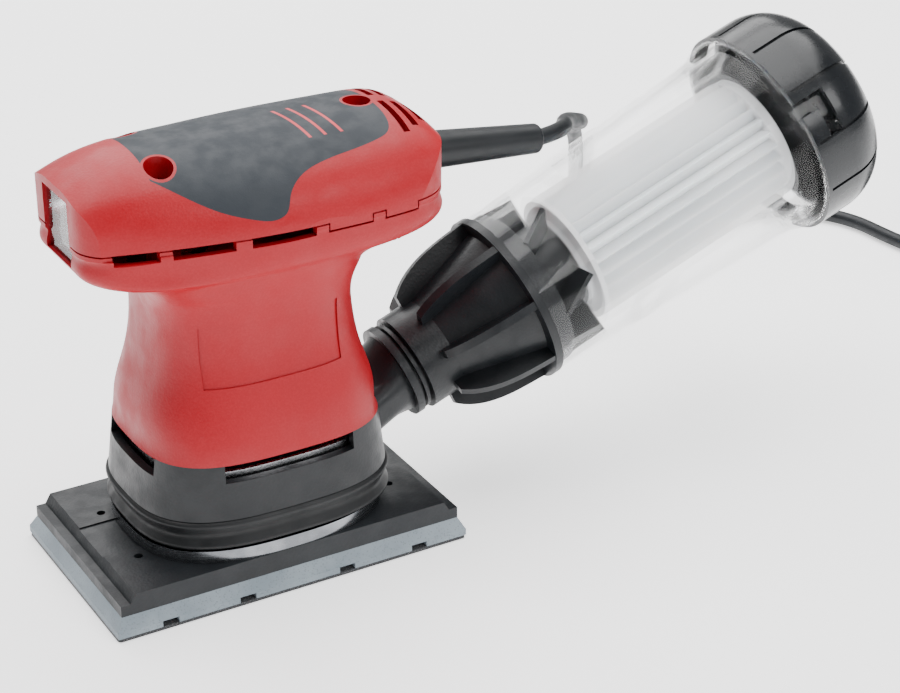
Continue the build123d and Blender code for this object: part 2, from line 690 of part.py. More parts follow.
def make_brush_holders():
    holders = []
    wall = 1.0
    for side in (-1, 1):
        near = side * (BRUSH_START + 1.6)
        far = side * (BRUSH_START + BRUSH_LENGTH + 5.0)
        x0 = HOUSING_CENTRE_X + min(near, far)
        x1 = HOUSING_CENTRE_X + max(near, far)
        sleeve = block(
            x0, x1, -BRUSH_WIDTH / 2 - wall, BRUSH_WIDTH / 2 + wall,
            BRUSH_MIDDLE - BRUSH_HEIGHT / 2 - wall, BRUSH_MIDDLE + BRUSH_HEIGHT / 2 + wall,
        )
        sleeve -= block(
            x0 - 1, x1 + 1, -BRUSH_WIDTH / 2, BRUSH_WIDTH / 2,
            BRUSH_MIDDLE - BRUSH_HEIGHT / 2, BRUSH_MIDDLE + BRUSH_HEIGHT / 2,
        )
        holders.append(sleeve)
    return Compound(children=holders)


# ======================================================== base
RING_LOW_SHAPE = (46.5, 46.5, 38.0, 0.0, 2.9)
RING_HIGH_SHAPE = BODY_STATIONS[0][1:]


def tapered(low, high, low_shape, high_shape, inset=0.0):
    return loft([plan_face(low, *low_shape, inset=inset), plan_face(high, *high_shape, inset=inset)])


def base_screw_places():
    return [
        (HOUSING_CENTRE_X + sx * BASE_SCREW_X, sy * BASE_SCREW_Y) for sx in (-1, 1) for sy in (-1, 1)
    ]


def make_base_ring():
    body = tapered(RING_BOTTOM, RING_TOP, RING_LOW_SHAPE, RING_HIGH_SHAPE)
    hollow = tapered(RING_BOTTOM, RING_TOP, RING_LOW_SHAPE, RING_HIGH_SHAPE, inset=RING_WALL)
    shelf = plan_prism(SHELF_BOTTOM, SHELF_TOP, *RING_LOW_SHAPE, inset=RING_WALL - 0.9)
    shelf -= cylinder(SHELF_BORE, RING_BOTTOM, RING_TOP, HOUSING_CENTRE_X)
    body = body - hollow + shelf
    for x, y in base_screw_places():
        body += cylinder(BASE_SCREW_BOSS / 2, SHELF_BOTTOM, RING_TOP, x, y)
    low_slot = RING_SLOT_BOTTOM
    half = RING_SIDE_SLOT_LENGTH / 2
    for side in (-1, 1):
        y0, y1 = sorted((side * 30.0, side * CUT))
        body -= block(HOUSING_CENTRE_X - half, HOUSING_CENTRE_X + half, y0, y1, low_slot, RING_TOP + 1)
    half = RING_END_SLOT_WIDTH / 2
    body -= block(-CUT, HOUSING_CENTRE_X - 36.0, -half, half, low_slot, RING_TOP + 1)
    for x, y in base_screw_places():
        body -= cylinder(BASE_SCREW_THREAD / 2, RING_BOTTOM, RING_TOP + 1, x, y)
    for x, y in post_places():
        body -= cylinder(POST_DIAMETER / 2, SHELF_BOTTOM - 1, SHELF_TOP + 1, x, y)
    duct = PORT_ROOT_WIDTH / 2 - PORT_WALL
    rise = PORT_ROOT_HEIGHT / 2 - PORT_WALL
    body -= block(HOUSING_CENTRE_X + 38.0, CUT, -duct, duct, PORT_ROOT_Z - rise, PORT_ROOT_Z + rise)
    return body


def make_base_screws():
    screws = []
    for x, y in base_screw_places():
        head = cylinder(BASE_SCREW_HEAD / 2, SHELF_BOTTOM - BASE_SCREW_HEAD_HEIGHT, SHELF_BOTTOM, x, y)
        shank = cylinder(BASE_SCREW_THREAD / 2, SHELF_BOTTOM - 1, RING_TOP + 9.0, x, y)
        screws.append(head + shank)
    return Compound(children=screws)


def make_elastic_posts():
    posts = []
    for x, y in post_places():
        post = cylinder(POST_DIAMETER / 2, PLATE_TOP - POST_SOCKET_DEPTH + 0.4, SHELF_TOP, x, y)
        post += cylinder(POST_HEAD_DIAMETER / 2, SHELF_TOP, SHELF_TOP + POST_HEAD_HEIGHT, x, y)
        post += cylinder(POST_HEAD_DIAMETER / 2, SHELF_BOTTOM - POST_HEAD_HEIGHT, SHELF_BOTTOM, x, y)
        posts.append(post)
    return Compound(children=posts)


def make_rubber_boot():
    """Skirt with two soft ridges."""
    stations = (
        (BOOT_BOTTOM, 45.2, 36.8),
        (23.6, 47.0, 38.4),
        (26.2, 45.8, 37.3),
        (28.8, 46.9, 38.2),
        (RING_BOTTOM, 45.6, 37.2),
    )

    def skin(inset):
        return loft([
            plan_face(z, length, length, width, 0.0, 2.9, inset=inset) for z, length, width in stations
        ])

    return skin(0.0) - skin(BOOT_WALL)


SHROUD_INSET = RING_WALL + SHROUD_GAP
SHROUD_BOTTOM = FAN_DISC_HIGH + 1.4


def make_motor_shroud():
    """Bright pressed ring behind the base ring's air slots."""
    shape = BODY_STATIONS[0][1:]
    shroud = plan_prism(SHROUD_BOTTOM, SHROUD_TOP, *shape, inset=SHROUD_INSET)
    inner = SHROUD_INSET + SHROUD_WALL
    shroud -= plan_prism(SHROUD_BOTTOM + SHROUD_WALL, SHROUD_TOP + 1, *shape, inset=inner)
    shroud -= cylinder(FAN_RADIUS + 1.5, SHROUD_BOTTOM - 1, SHROUD_TOP + 1, HOUSING_CENTRE_X)
    for x, y in base_screw_places():
        shroud -= cylinder(BASE_SCREW_BOSS / 2 + SHROUD_GAP, SHROUD_BOTTOM - 1, SHROUD_TOP + 1, x, y)
    return shroud


# ======================================================== motor housing
def body_skin(inset, first=0, lift=0.0):
    """Waist and lower head as one lofted solid, shrunk by the inset."""
    faces = []
    last = len(BODY_STATIONS) - 1
    for k, (z, *shape) in enumerate(BODY_STATIONS):
        height = z - lift if k == first else z + lift if k == last else z
        faces.append(plan_face(height, *shape, inset=inset))
    return loft(faces)


def head_screw_boss(radius, low, high):
    return [cylinder(radius, low, high, x, y) for x, y in HEAD_SCREWS]


def window_cut():
    return block(
        -CUT, SWITCH_BODY_FRONT, -WINDOW_WIDTH / 2, WINDOW_WIDTH / 2, WINDOW_BOTTOM, WINDOW_TOP
    )


def dial_centre_z():
    return DIAL_BOTTOM + DIAL_RADIUS


def dial_slot():
    wheel = Cylinder(DIAL_RADIUS + 0.7, DIAL_THICKNESS + 1.0)
    return Pos(DIAL_X, DIAL_Y, dial_centre_z()) * (Rot(90, 0, 0) * wheel)


RELIEF_PLANE = Plane(
    origin=(RELIEF_START_X, 0, RELIEF_START_Z),
    x_dir=(0, 1, 0),
    z_dir=(cos(radians(RELIEF_DROP)), 0, -sin(radians(RELIEF_DROP))),
)


def relief_hole():
    bore = cylinder(RELIEF_ROOT_RADIUS + 0.1, -1, 20)
    pocket = cylinder(RELIEF_FLANGE_RADIUS + 0.2, -0.2, RELIEF_FLANGE_LENGTH + 0.2)
    return RELIEF_PLANE.location * (bore + pocket)


def stator_ribs():
    """Four upright ribs that hold the field pack off the waist's long walls."""
    ribs = []
    for side in (-1, 1):
        for x in (-STATOR_RIB_X, STATOR_RIB_X):
            y0, y1 = sorted((side * 15.0, side * STATOR_RIB_REACH))
            rib = block(
                HOUSING_CENTRE_X + x - 1.5, HOUSING_CENTRE_X + x + 1.5, y0, y1,
                ARMATURE_BOTTOM + 2, ARMATURE_BOTTOM + ARMATURE_LENGTH,
            )
            ribs.append(rib - cylinder(STATOR_DIAMETER / 2, RING_TOP, SEAM_HEIGHT, HOUSING_CENTRE_X))
    return ribs


def inner_supports():
    """Pedestal under the switch and ledge under the circuit board."""
    low = UPPER_BULKHEAD[1] - 0.5
    pedestal = block(-47.0, -41.0, -6.0, 6.0, low, WINDOW_MIDDLE - SWITCH_BODY_HEIGHT / 2)
    x0, face_y, board_low = board_corner()
    ledge = block(
        x0 + 2.0, x0 + BOARD_LENGTH - 4.0, face_y - 0.8, face_y + BOARD_THICKNESS + 0.8, low, board_low
    )
    return [pedestal, ledge]


def seam_vents():
    """Air slots along both sides of the seam."""
    slots = []
    for side in (-1, 1):
        y0, y1 = sorted((side * 14.0, side * CUT))
        slots += [block(x0, x1, y0, y1, VENT_BOTTOM, VENT_TOP) for x0, x1 in VENT_SPANS]
        for x0, x1 in REAR_VENT_SPANS:
            slots.append(block(x0, x1, y0, y1, VENT_BOTTOM, VENT_BOTTOM + REAR_VENT_GAP))
            slots.append(block(x0, x0 + REAR_VENT_SLIT, y0, y1, VENT_BOTTOM, VENT_TOP))
            slots.append(block(x1 - REAR_VENT_SLIT, x1, y0, y1, VENT_BOTTOM, VENT_TOP))
    return slots


def rear_notches(low, margin):
    """Blocks over the two rear slots, from a height up past the seam."""
    blocks = []
    for side in (-1, 1):
        y0, y1 = sorted((side * 14.0, side * CUT))
        for x0, x1 in REAR_VENT_SPANS:
            blocks.append(block(x0 + margin, x1 - margin, y0, y1, low, SEAM_HEIGHT + 1))
    return blocks


def rear_tabs():
    """Tabs of the cover that hang into the housing's two rear notches."""
    plan = BODY_STATIONS[-1][1:]
    low = VENT_BOTTOM + REAR_VENT_GAP
    skirt = plan_prism(low, SEAM_HEIGHT + 0.5, *plan, inset=0.05)
    skirt -= plan_prism(low - 1, SEAM_HEIGHT + 1, *plan, inset=HOUSING_WALL)
    return [skirt & piece for piece in rear_notches(low, REAR_VENT_SLIT)]


def seam_groove(outer):
    """Shallow line round the cover's foot, absent over the two rear slots."""
    band = block(-CUT, CUT, -CUT, CUT, VENT_TOP - SEAM_GROOVE, VENT_TOP)
    for x0, x1 in REAR_VENT_SPANS:
        band -= block(x0, x1, -CUT, CUT, SEAM_HEIGHT, VENT_TOP + 1)
    return (outer - head_solid(SEAM_GROOVE)) & band


def make_motor_housing():
    outer = body_skin(0.0)
    shell = outer - body_skin(HOUSING_WALL, lift=1.0)
    lower = plan_prism(*LOWER_BULKHEAD, *LOWER_BULKHEAD_SHAPE)
    upper = plan_prism(*UPPER_BULKHEAD, *UPPER_BULKHEAD_SHAPE)
    for k in range(8):
        angle = radians(45 * k + 22.5)
        x = HOUSING_CENTRE_X + 20.0 * cos(angle)
        y = 20.0 * sin(angle)
        lower -= cylinder(4.0, RING_TOP, SEAM_HEIGHT, x, y)
        upper -= cylinder(4.0, RING_TOP, SEAM_HEIGHT, x, y)
    shell = shell + lower + upper
    shell += cylinder(LOWER_BEARING_OUTER / 2 + 2.5, RING_TOP, LOWER_BEARING_HIGH, HOUSING_CENTRE_X)
    seat = UPPER_BEARING_OUTER / 2 + 2.5
    shell += cylinder(seat, UPPER_BULKHEAD[0], UPPER_BEARING_HIGH, HOUSING_CENTRE_X)
    shell += stator_ribs()
    for x, y in base_screw_places():
        shell += cylinder(BASE_SCREW_BOSS / 2, RING_TOP, RING_TOP + 11.0, x, y)
        shell -= cylinder(BASE_SCREW_THREAD / 2, RING_TOP - 1, RING_TOP + 9.0, x, y)
    shell += head_screw_boss(SCREW_BOSS_DIAMETER / 2, UPPER_BULKHEAD[1] - 0.5, SEAM_HEIGHT)
    shell += block(*RELIEF_SEAT_X, -RELIEF_SEAT_HALF, RELIEF_SEAT_HALF, SEAM_HEIGHT - 5.0, SEAM_HEIGHT)
    shell += inner_supports()
    shell -= head_screw_boss(HEAD_SCREW_THREAD / 2, SEAM_HEIGHT - HEAD_SCREW_BITE, SEAM_HEIGHT + 1)
    shell -= cylinder(LOWER_BEARING_OUTER / 2, LOWER_BEARING_LOW, LOWER_BEARING_HIGH + 1, HOUSING_CENTRE_X)
    bore = SHAFT_DIAMETER / 2 + 1.0
    shell -= cylinder(bore, RING_TOP - 1, LOWER_BEARING_HIGH + 1, HOUSING_CENTRE_X)
    shell -= cylinder(UPPER_BEARING_OUTER / 2, UPPER_BEARING_LOW, UPPER_BEARING_HIGH + 1, HOUSING_CENTRE_X)
    shell -= cylinder(bore, UPPER_BULKHEAD[0] - 1, UPPER_BEARING_HIGH + 1, HOUSING_CENTRE_X)
    half = LABEL_LENGTH / 2
    for side in (-1, 1):
        window = block(
            -half - HOUSING_CENTRE_X, half - HOUSING_CENTRE_X, *sorted((side * 20.0, side * 45.0)),
            LABEL_BOTTOM, LABEL_TOP,
        )
        shell -= window - body_skin(LABEL_DEPTH)
    shell -= seam_vents()
    shell -= rear_notches(VENT_BOTTOM, 0.0)
    shell -= window_cut()
    shell -= dial_slot()
    return shell - relief_hole()


LOWER_BEARING_LOW = 53.0
LOWER_BEARING_HIGH = LOWER_BEARING_LOW + LOWER_BEARING_WIDTH
UPPER_BEARING_LOW = 120.0
UPPER_BEARING_HIGH = UPPER_BEARING_LOW + UPPER_BEARING_WIDTH


# ======================================================== head cover
def half_width_at(x):
    """Half width of the seam's plan curve, held constant near its ends."""
    reach = HEAD_REAR if x > HOUSING_CENTRE_X else HEAD_FRONT
    share = (x - HOUSING_CENTRE_X) / reach
    along = min(abs(share), CROWN_CLIP)
    narrowing = 1 - HEAD_TAPER * max(0.0, -share) ** 1.15
    return HEAD_HALF_WIDTH * narrowing * (1 - along ** HEAD_POWER) ** (1 / HEAD_POWER)


def crown_skin(inset):
    """Domed solid over the seam, lofted along X, before its ends are rounded in plan."""
    faces = []
    for x, height, power in CROWN_STATIONS:
        half_width = half_width_at(x) - inset
        rise = height - inset
        arch = []
        for k in range(17):
            turn = pi * k / 16
            across = copysign(abs(cos(turn)) ** (2 / power), cos(turn))
            up = abs(sin(turn)) ** (2 / power)
            arch.append((x, half_width * across, SEAM_HEIGHT + rise * up))
        edges = [Spline(*arch), Line(arch[-1], arch[0])]
        faces.append(make_face(edges))
    return loft(faces)


def head_solid(inset):
    plan = BODY_STATIONS[-1][1:]
    prism = plan_prism(SEAM_HEIGHT, SEAM_HEIGHT + 40.0, *plan, inset=inset)
    return crown_skin(inset) & prism


def grip_region():
    """Side view of the soft grip: it drops into a lobe on each flank."""
    top = SEAM_HEIGHT + 40.0
    lobe = (
        (GRIP_FRONT_X, 0, 151.8),
        (-31.0, 0, 148.4),
        (-24.0, 0, 144.2),
        (-16.0, 0, 140.3),
        (-8.0, 0, 137.6),
        (-1.0, 0, 136.5),
        (3.0, 0, 138.2),
        (5.2, 0, 142.4),
        (9.6, 0, 146.4),
        (18.0, 0, 148.9),
        (32.0, 0, 150.2),
        (43.0, 0, 151.2),
        (GRIP_REAR_X - 2.0, 0, 153.0),
        (GRIP_REAR_X, 0, 156.5),
    )
    lower = Spline(*lobe)
    sides = Polyline(lobe[-1], (GRIP_REAR_X, 0, top), (GRIP_FRONT_X, 0, top), lobe[0])
    return extrude(make_face([lower, *sides.edges()]), 60.0, both=True)


def screw_wells(radius, floor):
    return [cylinder(radius, floor, SEAM_HEIGHT + 40.0, x, y) for x, y in HEAD_SCREWS]


WELL_FLOOR = SEAM_HEIGHT + 27.0 - SCREW_WELL_DEPTH - 1.5


def make_head_cover():
    outer = head_solid(0.0)
    cover = outer - head_solid(HOUSING_WALL)
    bosses = Compound(children=head_screw_boss(SCREW_BOSS_DIAMETER / 2, SEAM_HEIGHT, SEAM_HEIGHT + 40.0))
    seat = block(*RELIEF_SEAT_X, -RELIEF_SEAT_HALF, RELIEF_SEAT_HALF, SEAM_HEIGHT, SEAM_HEIGHT + 14.0)
    cover += bosses & outer
    cover += seat
    cover += rear_tabs()
    cover -= grip_layer()
    cover -= screw_wells(SCREW_WELL_DIAMETER / 2, WELL_FLOOR)
    cover -= head_screw_boss(HEAD_SCREW_THREAD / 2, SEAM_HEIGHT - 1, WELL_FLOOR + 1)
    for x, length in TOP_VENTS:
        for side in (-1, 1):
            y0, y1 = sorted((side * TOP_VENT_BRIDGE / 2, side * (TOP_VENT_BRIDGE / 2 + length)))
            half = TOP_VENT_WIDTH / 2
            cover -= block(x - half, x + half, y0, y1, SEAM_HEIGHT + 14.5, SEAM_HEIGHT + 40.0)
    cover -= seam_vents()
    cover -= seam_groove(outer)
    cover -= window_cut()
    cover -= relief_hole()
    return cover


def grip_layer():
    layer = head_solid(0.0) - head_solid(GRIP_THICKNESS)
    layer = layer & grip_region()
    return layer - Compound(children=screw_wells(SCREW_BOSS_DIAMETER / 2, SEAM_HEIGHT))


def make_head_screws():
    screws = []
    for x, y in HEAD_SCREWS:
        screw = cylinder(HEAD_SCREW_HEAD / 2, WELL_FLOOR, WELL_FLOOR + HEAD_SCREW_HEAD_HEIGHT, x, y)
        screw += cylinder(HEAD_SCREW_THREAD / 2, SEAM_HEIGHT - HEAD_SCREW_BITE, WELL_FLOOR, x, y)
        socket = extrude(RegularPolygon(2.2, 6), 2.0)
        socket = Pos(x, y, WELL_FLOOR + HEAD_SCREW_HEAD_HEIGHT - 1.6) * socket
        screws.append(screw - socket)
    return Compound(children=screws)


# ======================================================== switch
WINDOW_MIDDLE = (WINDOW_BOTTOM + WINDOW_TOP) / 2
NOSE_X = HOUSING_CENTRE_X - HEAD_FRONT


def make_switch_cover():
    """Clear flexible dust cap over the rocker."""
    front = NOSE_X + WINDOW_RECESS
    half = WINDOW_WIDTH / 2 - COVER_CLEARANCE
    low = WINDOW_BOTTOM + COVER_CLEARANCE
    high = WINDOW_TOP - COVER_CLEARANCE
    cap = block(front, front + COVER_DEPTH, -half, half, low, high)
    cap = fillet(cap.edges().filter_by(Axis.X), 1.0)
    cap -= block(
        front + COVER_WALL, CUT, -half + COVER_WALL, half - COVER_WALL, low + COVER_WALL, high - COVER_WALL
    )
    return cap


def rocker_profile(grow=0.0):
    half = ROCKER_HEIGHT / 2 + grow
    depth = ROCKER_DEPTH + grow
    return Polyline(
        (2.0 + grow, 0, 4.0),
        (-3.0, 0, half),
        (-depth, 0, half),
        (-depth + ROCKER_DISH, 0, 0),
        (-depth, 0, -half),
        (-3.0, 0, -half),
        (2.0 + grow, 0, -4.0),
        close=True,
    )


def make_switch_rocker():
    lever = extrude(make_face(rocker_profile()), ROCKER_WIDTH / 2, both=True)
    pin = Rot(90, 0, 0) * Cylinder(ROCKER_PIVOT_DIAMETER / 2, SWITCH_BODY_WIDTH - 0.6)
    return Pos(ROCKER_PIVOT_X, 0, WINDOW_MIDDLE) * (Rot(0, ROCKER_TILT, 0) * (lever + pin))


def make_switch_body():
    front = SWITCH_BODY_FRONT
    half_w = SWITCH_BODY_WIDTH / 2
    half_h = SWITCH_BODY_HEIGHT / 2
    body = block(
        front, front + SWITCH_BODY_DEPTH, -half_w, half_w, WINDOW_MIDDLE - half_h, WINDOW_MIDDLE + half_h
    )
    room = ROCKER_WIDTH / 2 + 0.35
    reach = half_h - 1.4
    body -= block(
        front - 1, ROCKER_PIVOT_X + 5.0, -room, room, WINDOW_MIDDLE - reach, WINDOW_MIDDLE + reach
    )
    pivot = ROCKER_PIVOT_DIAMETER / 2 + ROCKER_PIVOT_CLEARANCE
    body -= Pos(ROCKER_PIVOT_X, 0, WINDOW_MIDDLE) * (Rot(90, 0, 0) * Cylinder(pivot, SWITCH_BODY_WIDTH + 2))
    for dz in (-5.0, 0.0, 5.0):
        body += block(
            front + SWITCH_BODY_DEPTH, front + SWITCH_BODY_DEPTH + 5.0, -2.4, 2.4,
            WINDOW_MIDDLE + dz - 0.4, WINDOW_MIDDLE + dz + 0.4,
        )
    return body


# ======================================================== speed dial
def make_speed_dial():
    wheel = Cylinder(DIAL_RADIUS, DIAL_THICKNESS)
    for k in range(DIAL_GRIPS):
        notch = Pos(DIAL_RADIUS + 0.15, 0, 0) * Cylinder(0.5, DIAL_THICKNESS + 1)
        wheel -= Rot(0, 0, 360 * k / DIAL_GRIPS) * notch
    spindle = Pos(0, 0, -DIAL_THICKNESS / 2 - 3.0) * Cylinder(DIAL_SPINDLE / 2, 6.0)
    return Pos(DIAL_X, DIAL_Y, dial_centre_z()) * (Rot(90, 0, 0) * (wheel + spindle))


def board_corner():
    """Front end, near face and lower edge of the board."""
    return DIAL_X - BOARD_LENGTH / 2 - 7.0, DIAL_Y + DIAL_THICKNESS / 2 + 4.0, dial_centre_z() - 4.5


def make_control_board():
    """Upright circuit board with the dial's potentiometer and its larger parts."""
    z = dial_centre_z()
    x0, face_y, low = board_corner()
    board = block(x0, x0 + BOARD_LENGTH, face_y, face_y + BOARD_THICKNESS, low, low + BOARD_HEIGHT)
    pot = block(DIAL_X - 5.0, DIAL_X + 5.0, face_y - 3.0, face_y, z - 1.4, z + 5.0)
    bore = Pos(DIAL_X, face_y - 1.5, z) * (Rot(90, 0, 0) * Cylinder(DIAL_SPINDLE / 2 + 0.08, 12))
    parts = block(x0 + 2.0, x0 + 9.0, face_y + BOARD_THICKNESS, face_y + 8.0, z, z + 8.0)
    return board + pot + parts - bore


# ======================================================== dust port and container
PORT_ROOT_Z = 43.0


def make_dust_port():
    root_x = HOUSING_CENTRE_X + 43.0
    root_plane = Plane(origin=(root_x, 0, PORT_ROOT_Z), x_dir=(0, 1, 0), z_dir=(1, 0, 0))
    mouth = DUST_PLANE.offset(PORT_COLLAR_FROM)
    outer_root = root_plane * RectangleRounded(PORT_ROOT_WIDTH, PORT_ROOT_HEIGHT, 6.0)
    inner_root = root_plane * RectangleRounded(
        PORT_ROOT_WIDTH - 2 * PORT_WALL, PORT_ROOT_HEIGHT - 2 * PORT_WALL, 4.0
    )
    outer = loft([outer_root.face(), (mouth * Circle(PORT_RADIUS)).face()])
    inner = loft([inner_root.face(), (mouth * Circle(PORT_RADIUS - PORT_WALL)).face()])
    stub = cylinder(PORT_RADIUS, PORT_COLLAR_FROM, PORT_END)
    stub += cylinder(PORT_COLLAR_RADIUS, PORT_COLLAR_FROM, PORT_COLLAR_TO)
    stub += cylinder(PORT_RIDGE_RADIUS, PORT_RIDGE_AT, PORT_RIDGE_AT + PORT_RIDGE_WIDTH)
    for s in SEAL_RING_AT:
        stub -= ring(PORT_RADIUS + 1, PORT_RADIUS - SEAL_RING_SECTION, s, s + SEAL_RING_SECTION)
    stub -= cylinder(PORT_RADIUS - PORT_WALL, PORT_COLLAR_FROM - 1, PORT_END + 1)
    port = outer + on_dust_axis(stub)
    port -= inner
    return port - tapered(RING_BOTTOM, RING_TOP, RING_LOW_SHAPE, RING_HIGH_SHAPE)


def make_port_seal_rings():
    rings = []
    for s in SEAL_RING_AT:
        rings.append(ring(PORT_RADIUS, PORT_RADIUS - SEAL_RING_SECTION, s, s + SEAL_RING_SECTION))
    return on_dust_axis(Compound(children=rings))


def make_container_funnel():
    """Socket, ribbed cone and flange that carry the clear tube."""
    bore = PORT_RADIUS + PORT_FIT
    spigot = TUBE_START_RADIUS - TUBE_WALL - 0.1
    shell = revolved(
        (bore, SOCKET_START), (SOCKET_RADIUS, SOCKET_START), (SOCKET_RADIUS, SOCKET_END),
        (CONE_END_RADIUS, CONE_END), (FLANGE_RADIUS, CONE_END), (FLANGE_RADIUS, FLANGE_END),
        (spigot, FLANGE_END), (spigot, FUNNEL_SPIGOT_END), (spigot - FUNNEL_WALL, FUNNEL_SPIGOT_END),
        (spigot - FUNNEL_WALL, CONE_END + 2), (CONE_END_RADIUS - FUNNEL_WALL, CONE_END + 1),
        (SOCKET_RADIUS - FUNNEL_WALL, SOCKET_END + 1), (bore, SOCKET_END),
    )
    rim = (FLANGE_RADIUS - 0.4, 0, CONE_END + 1)
    start = (FIN_START_RADIUS, 0, FIN_START)
    edge = Spline(start, (27.2, 0, 20.5), (30.6, 0, 32.0), rim)
    inside = Polyline(
        rim, (CONE_END_RADIUS - 1, 0, CONE_END + 1), (SOCKET_RADIUS - 1, 0, SOCKET_END + 0.5),
        (SOCKET_RADIUS - 1, 0, FIN_START), start,
    )
    fin = extrude(make_face([edge, *inside.edges()]), FIN_THICKNESS / 2, both=True)
    for k in range(FINS):
        shell += Rot(0, 0, 360 * (k + 0.5) / FINS) * fin
    return on_dust_axis(shell)


def make_air_guide():
    """Collar inside the clear tube with a floor and slanted swirl vanes."""
    floor_low = FUNNEL_SPIGOT_END
    guide = ring(COLLAR_FLOOR_RADIUS, COLLAR_RADIUS - 2.0, floor_low, floor_low + 1.8)
    guide += ring(COLLAR_RADIUS, COLLAR_RADIUS - 2.0, floor_low, COLLAR_END)
    inner = COLLAR_RADIUS - 0.8
    vane = Pos((inner + VANE_RADIUS) / 2, 0, 0) * Box(VANE_RADIUS - inner, VANE_THICKNESS, VANE_LENGTH)
    vane = Pos(0, 0, VANE_MIDDLE) * (Rot(VANE_SLANT, 0, 0) * vane)
    for k in range(VANES):
        guide += Rot(0, 0, 360 * k / VANES + 20) * vane
    return on_dust_axis(guide)


def make_funnel_seal():
    return on_dust_axis(ring(FLANGE_RADIUS - 0.2, TUBE_START_RADIUS - TUBE_WALL, FLANGE_END, TUBE_START))


def make_clear_tube():
    tube = revolved(
        (TUBE_START_RADIUS, TUBE_START), (TUBE_FLARE_RADIUS, TUBE_FLARE_START),
        (TUBE_RIM_RADIUS, TUBE_RIM - TUBE_RIM_THICKNESS), (TUBE_RIM_RADIUS, TUBE_RIM),
        (TUBE_NECK_RADIUS, TUBE_RIM), (TUBE_NECK_RADIUS, TUBE_NECK_END),
        (TUBE_NECK_RADIUS - TUBE_WALL, TUBE_NECK_END),
        (TUBE_NECK_RADIUS - TUBE_WALL, TUBE_RIM - TUBE_RIM_THICKNESS),
        (TUBE_FLARE_RADIUS - TUBE_WALL, TUBE_FLARE_START), (TUBE_START_RADIUS - TUBE_WALL, TUBE_START),
    )
    for k in range(BAYONETS):
        pin = Rot(0, 90, 0) * cylinder(TUBE_PIN_DIAMETER / 2, TUBE_NECK_RADIUS - 1.0, CAP_RADIUS - 0.6)
        tube += Rot(0, 0, TUBE_PIN_ANGLE + 360 * k / BAYONETS) * (Pos(0, 0, TUBE_PIN_AT) * pin)
    return on_dust_axis(tube)


def star(outer, inner):
    points = []
    for k in range(2 * FILTER_PLEATS):
        radius = outer if k % 2 else inner
        points.append((radius * cos(pi * k / FILTER_PLEATS), radius * sin(pi * k / FILTER_PLEATS)))
    return make_face(Polyline(*points, close=True))


def make_filter_pleats():
    paper = star(FILTER_OUTER, FILTER_INNER + 0.9) - star(FILTER_OUTER - 1.4, FILTER_INNER - 0.5)
    length = FILTER_END - FILTER_START - 2 * FILTER_RING_THICKNESS
    return on_dust_axis(Pos(0, 0, FILTER_START + FILTER_RING_THICKNESS) * extrude(paper, length))


def make_filter_core():
    core = ring(FILTER_CORE_RADIUS, FILTER_CORE_RADIUS - 1.2, FILTER_START, FILTER_END)
    for k in range(6):
        slot = block(
            -3.0, 3.0, FILTER_CORE_RADIUS - 4, FILTER_CORE_RADIUS + 2, FILTER_START + 8, FILTER_END - 8
        )
        core -= Rot(0, 0, 60 * k) * slot
    return on_dust_axis(core)


def make_filter_end_rings():
    low = ring(FILTER_RING_RADIUS, FILTER_CORE_RADIUS, FILTER_START, FILTER_START + FILTER_RING_THICKNESS)
    high = ring(FILTER_RING_RADIUS, FILTER_CORE_RADIUS, FILTER_END - FILTER_RING_THICKNESS, FILTER_END)
    plug = cylinder(FILTER_RING_RADIUS, FILTER_END, FILTER_END + 1.6)
    collar = ring(FILTER_CORE_RADIUS, COLLAR_RADIUS - 2.0, COLLAR_END, FILTER_START)
    return on_dust_axis(Compound(children=[low, high + plug, collar]))


def cap_solid(shrink):
    body = cylinder(CAP_RADIUS - shrink, CAP_START, CAP_END - shrink)
    rim = body.edges().filter_by(GeomType.CIRCLE).group_by(Axis.Z)[-1]
    return fillet(rim, CAP_EDGE_RADIUS - shrink)


def sector(radius, low, high, start, sweep):
    """Wedge of a disc between two heights, from one angle through a sweep."""
    reach = 2 * radius
    wedge = Polyline(
        (0, 0), (reach * cos(radians(start)), reach * sin(radians(start))),
        (reach * cos(radians(start + sweep / 2)), reach * sin(radians(start + sweep / 2))),
        (reach * cos(radians(start + sweep)), reach * sin(radians(start + sweep))), close=True,
    )
    return Pos(0, 0, low) * extrude(make_face(wedge), high - low)


def make_end_cap():
    outer = cap_solid(0.0)
    cap = outer - cap_solid(CAP_WALL)
    skin = outer - cap_solid(CAP_GROOVE_DEPTH)
    skin = skin & block(-CUT, CUT, -CUT, CUT, CAP_START + 1.6, CAP_END - 0.5)
    for k in range(CAP_GROOVES // 2):
        plate = block(-CAP_RADIUS - 1, CAP_RADIUS + 1, -CAP_GROOVE_WIDTH / 2, CAP_GROOVE_WIDTH / 2, 0, CUT)
        plate -= cylinder(16.0, 0, CUT)
        cap -= skin & (Rot(0, 0, 360 / CAP_GROOVES * (k + 0.5)) * plate)
    pin_half = degrees(TUBE_PIN_DIAMETER / 2 / TUBE_NECK_RADIUS) + 0.8
    leg_half = degrees(CAP_SLOT_WIDTH / 2 / TUBE_NECK_RADIUS)
    leg_top = TUBE_PIN_AT + TUBE_PIN_DIAMETER / 2 + 0.6
    leg_bottom = TUBE_PIN_AT - TUBE_PIN_DIAMETER / 2 - 0.6
    for k in range(BAYONETS):
        base = 360 * k / BAYONETS + CAP_SLOT_ANGLE
        cap -= sector(CAP_RADIUS + 2, CAP_START - 1, leg_top, base - leg_half, 2 * leg_half)
        sweep = TUBE_PIN_ANGLE - CAP_SLOT_ANGLE + leg_half + pin_half
        cap -= sector(CAP_RADIUS + 2, leg_bottom, leg_top, base - leg_half, sweep)
    return on_dust_axis(cap)


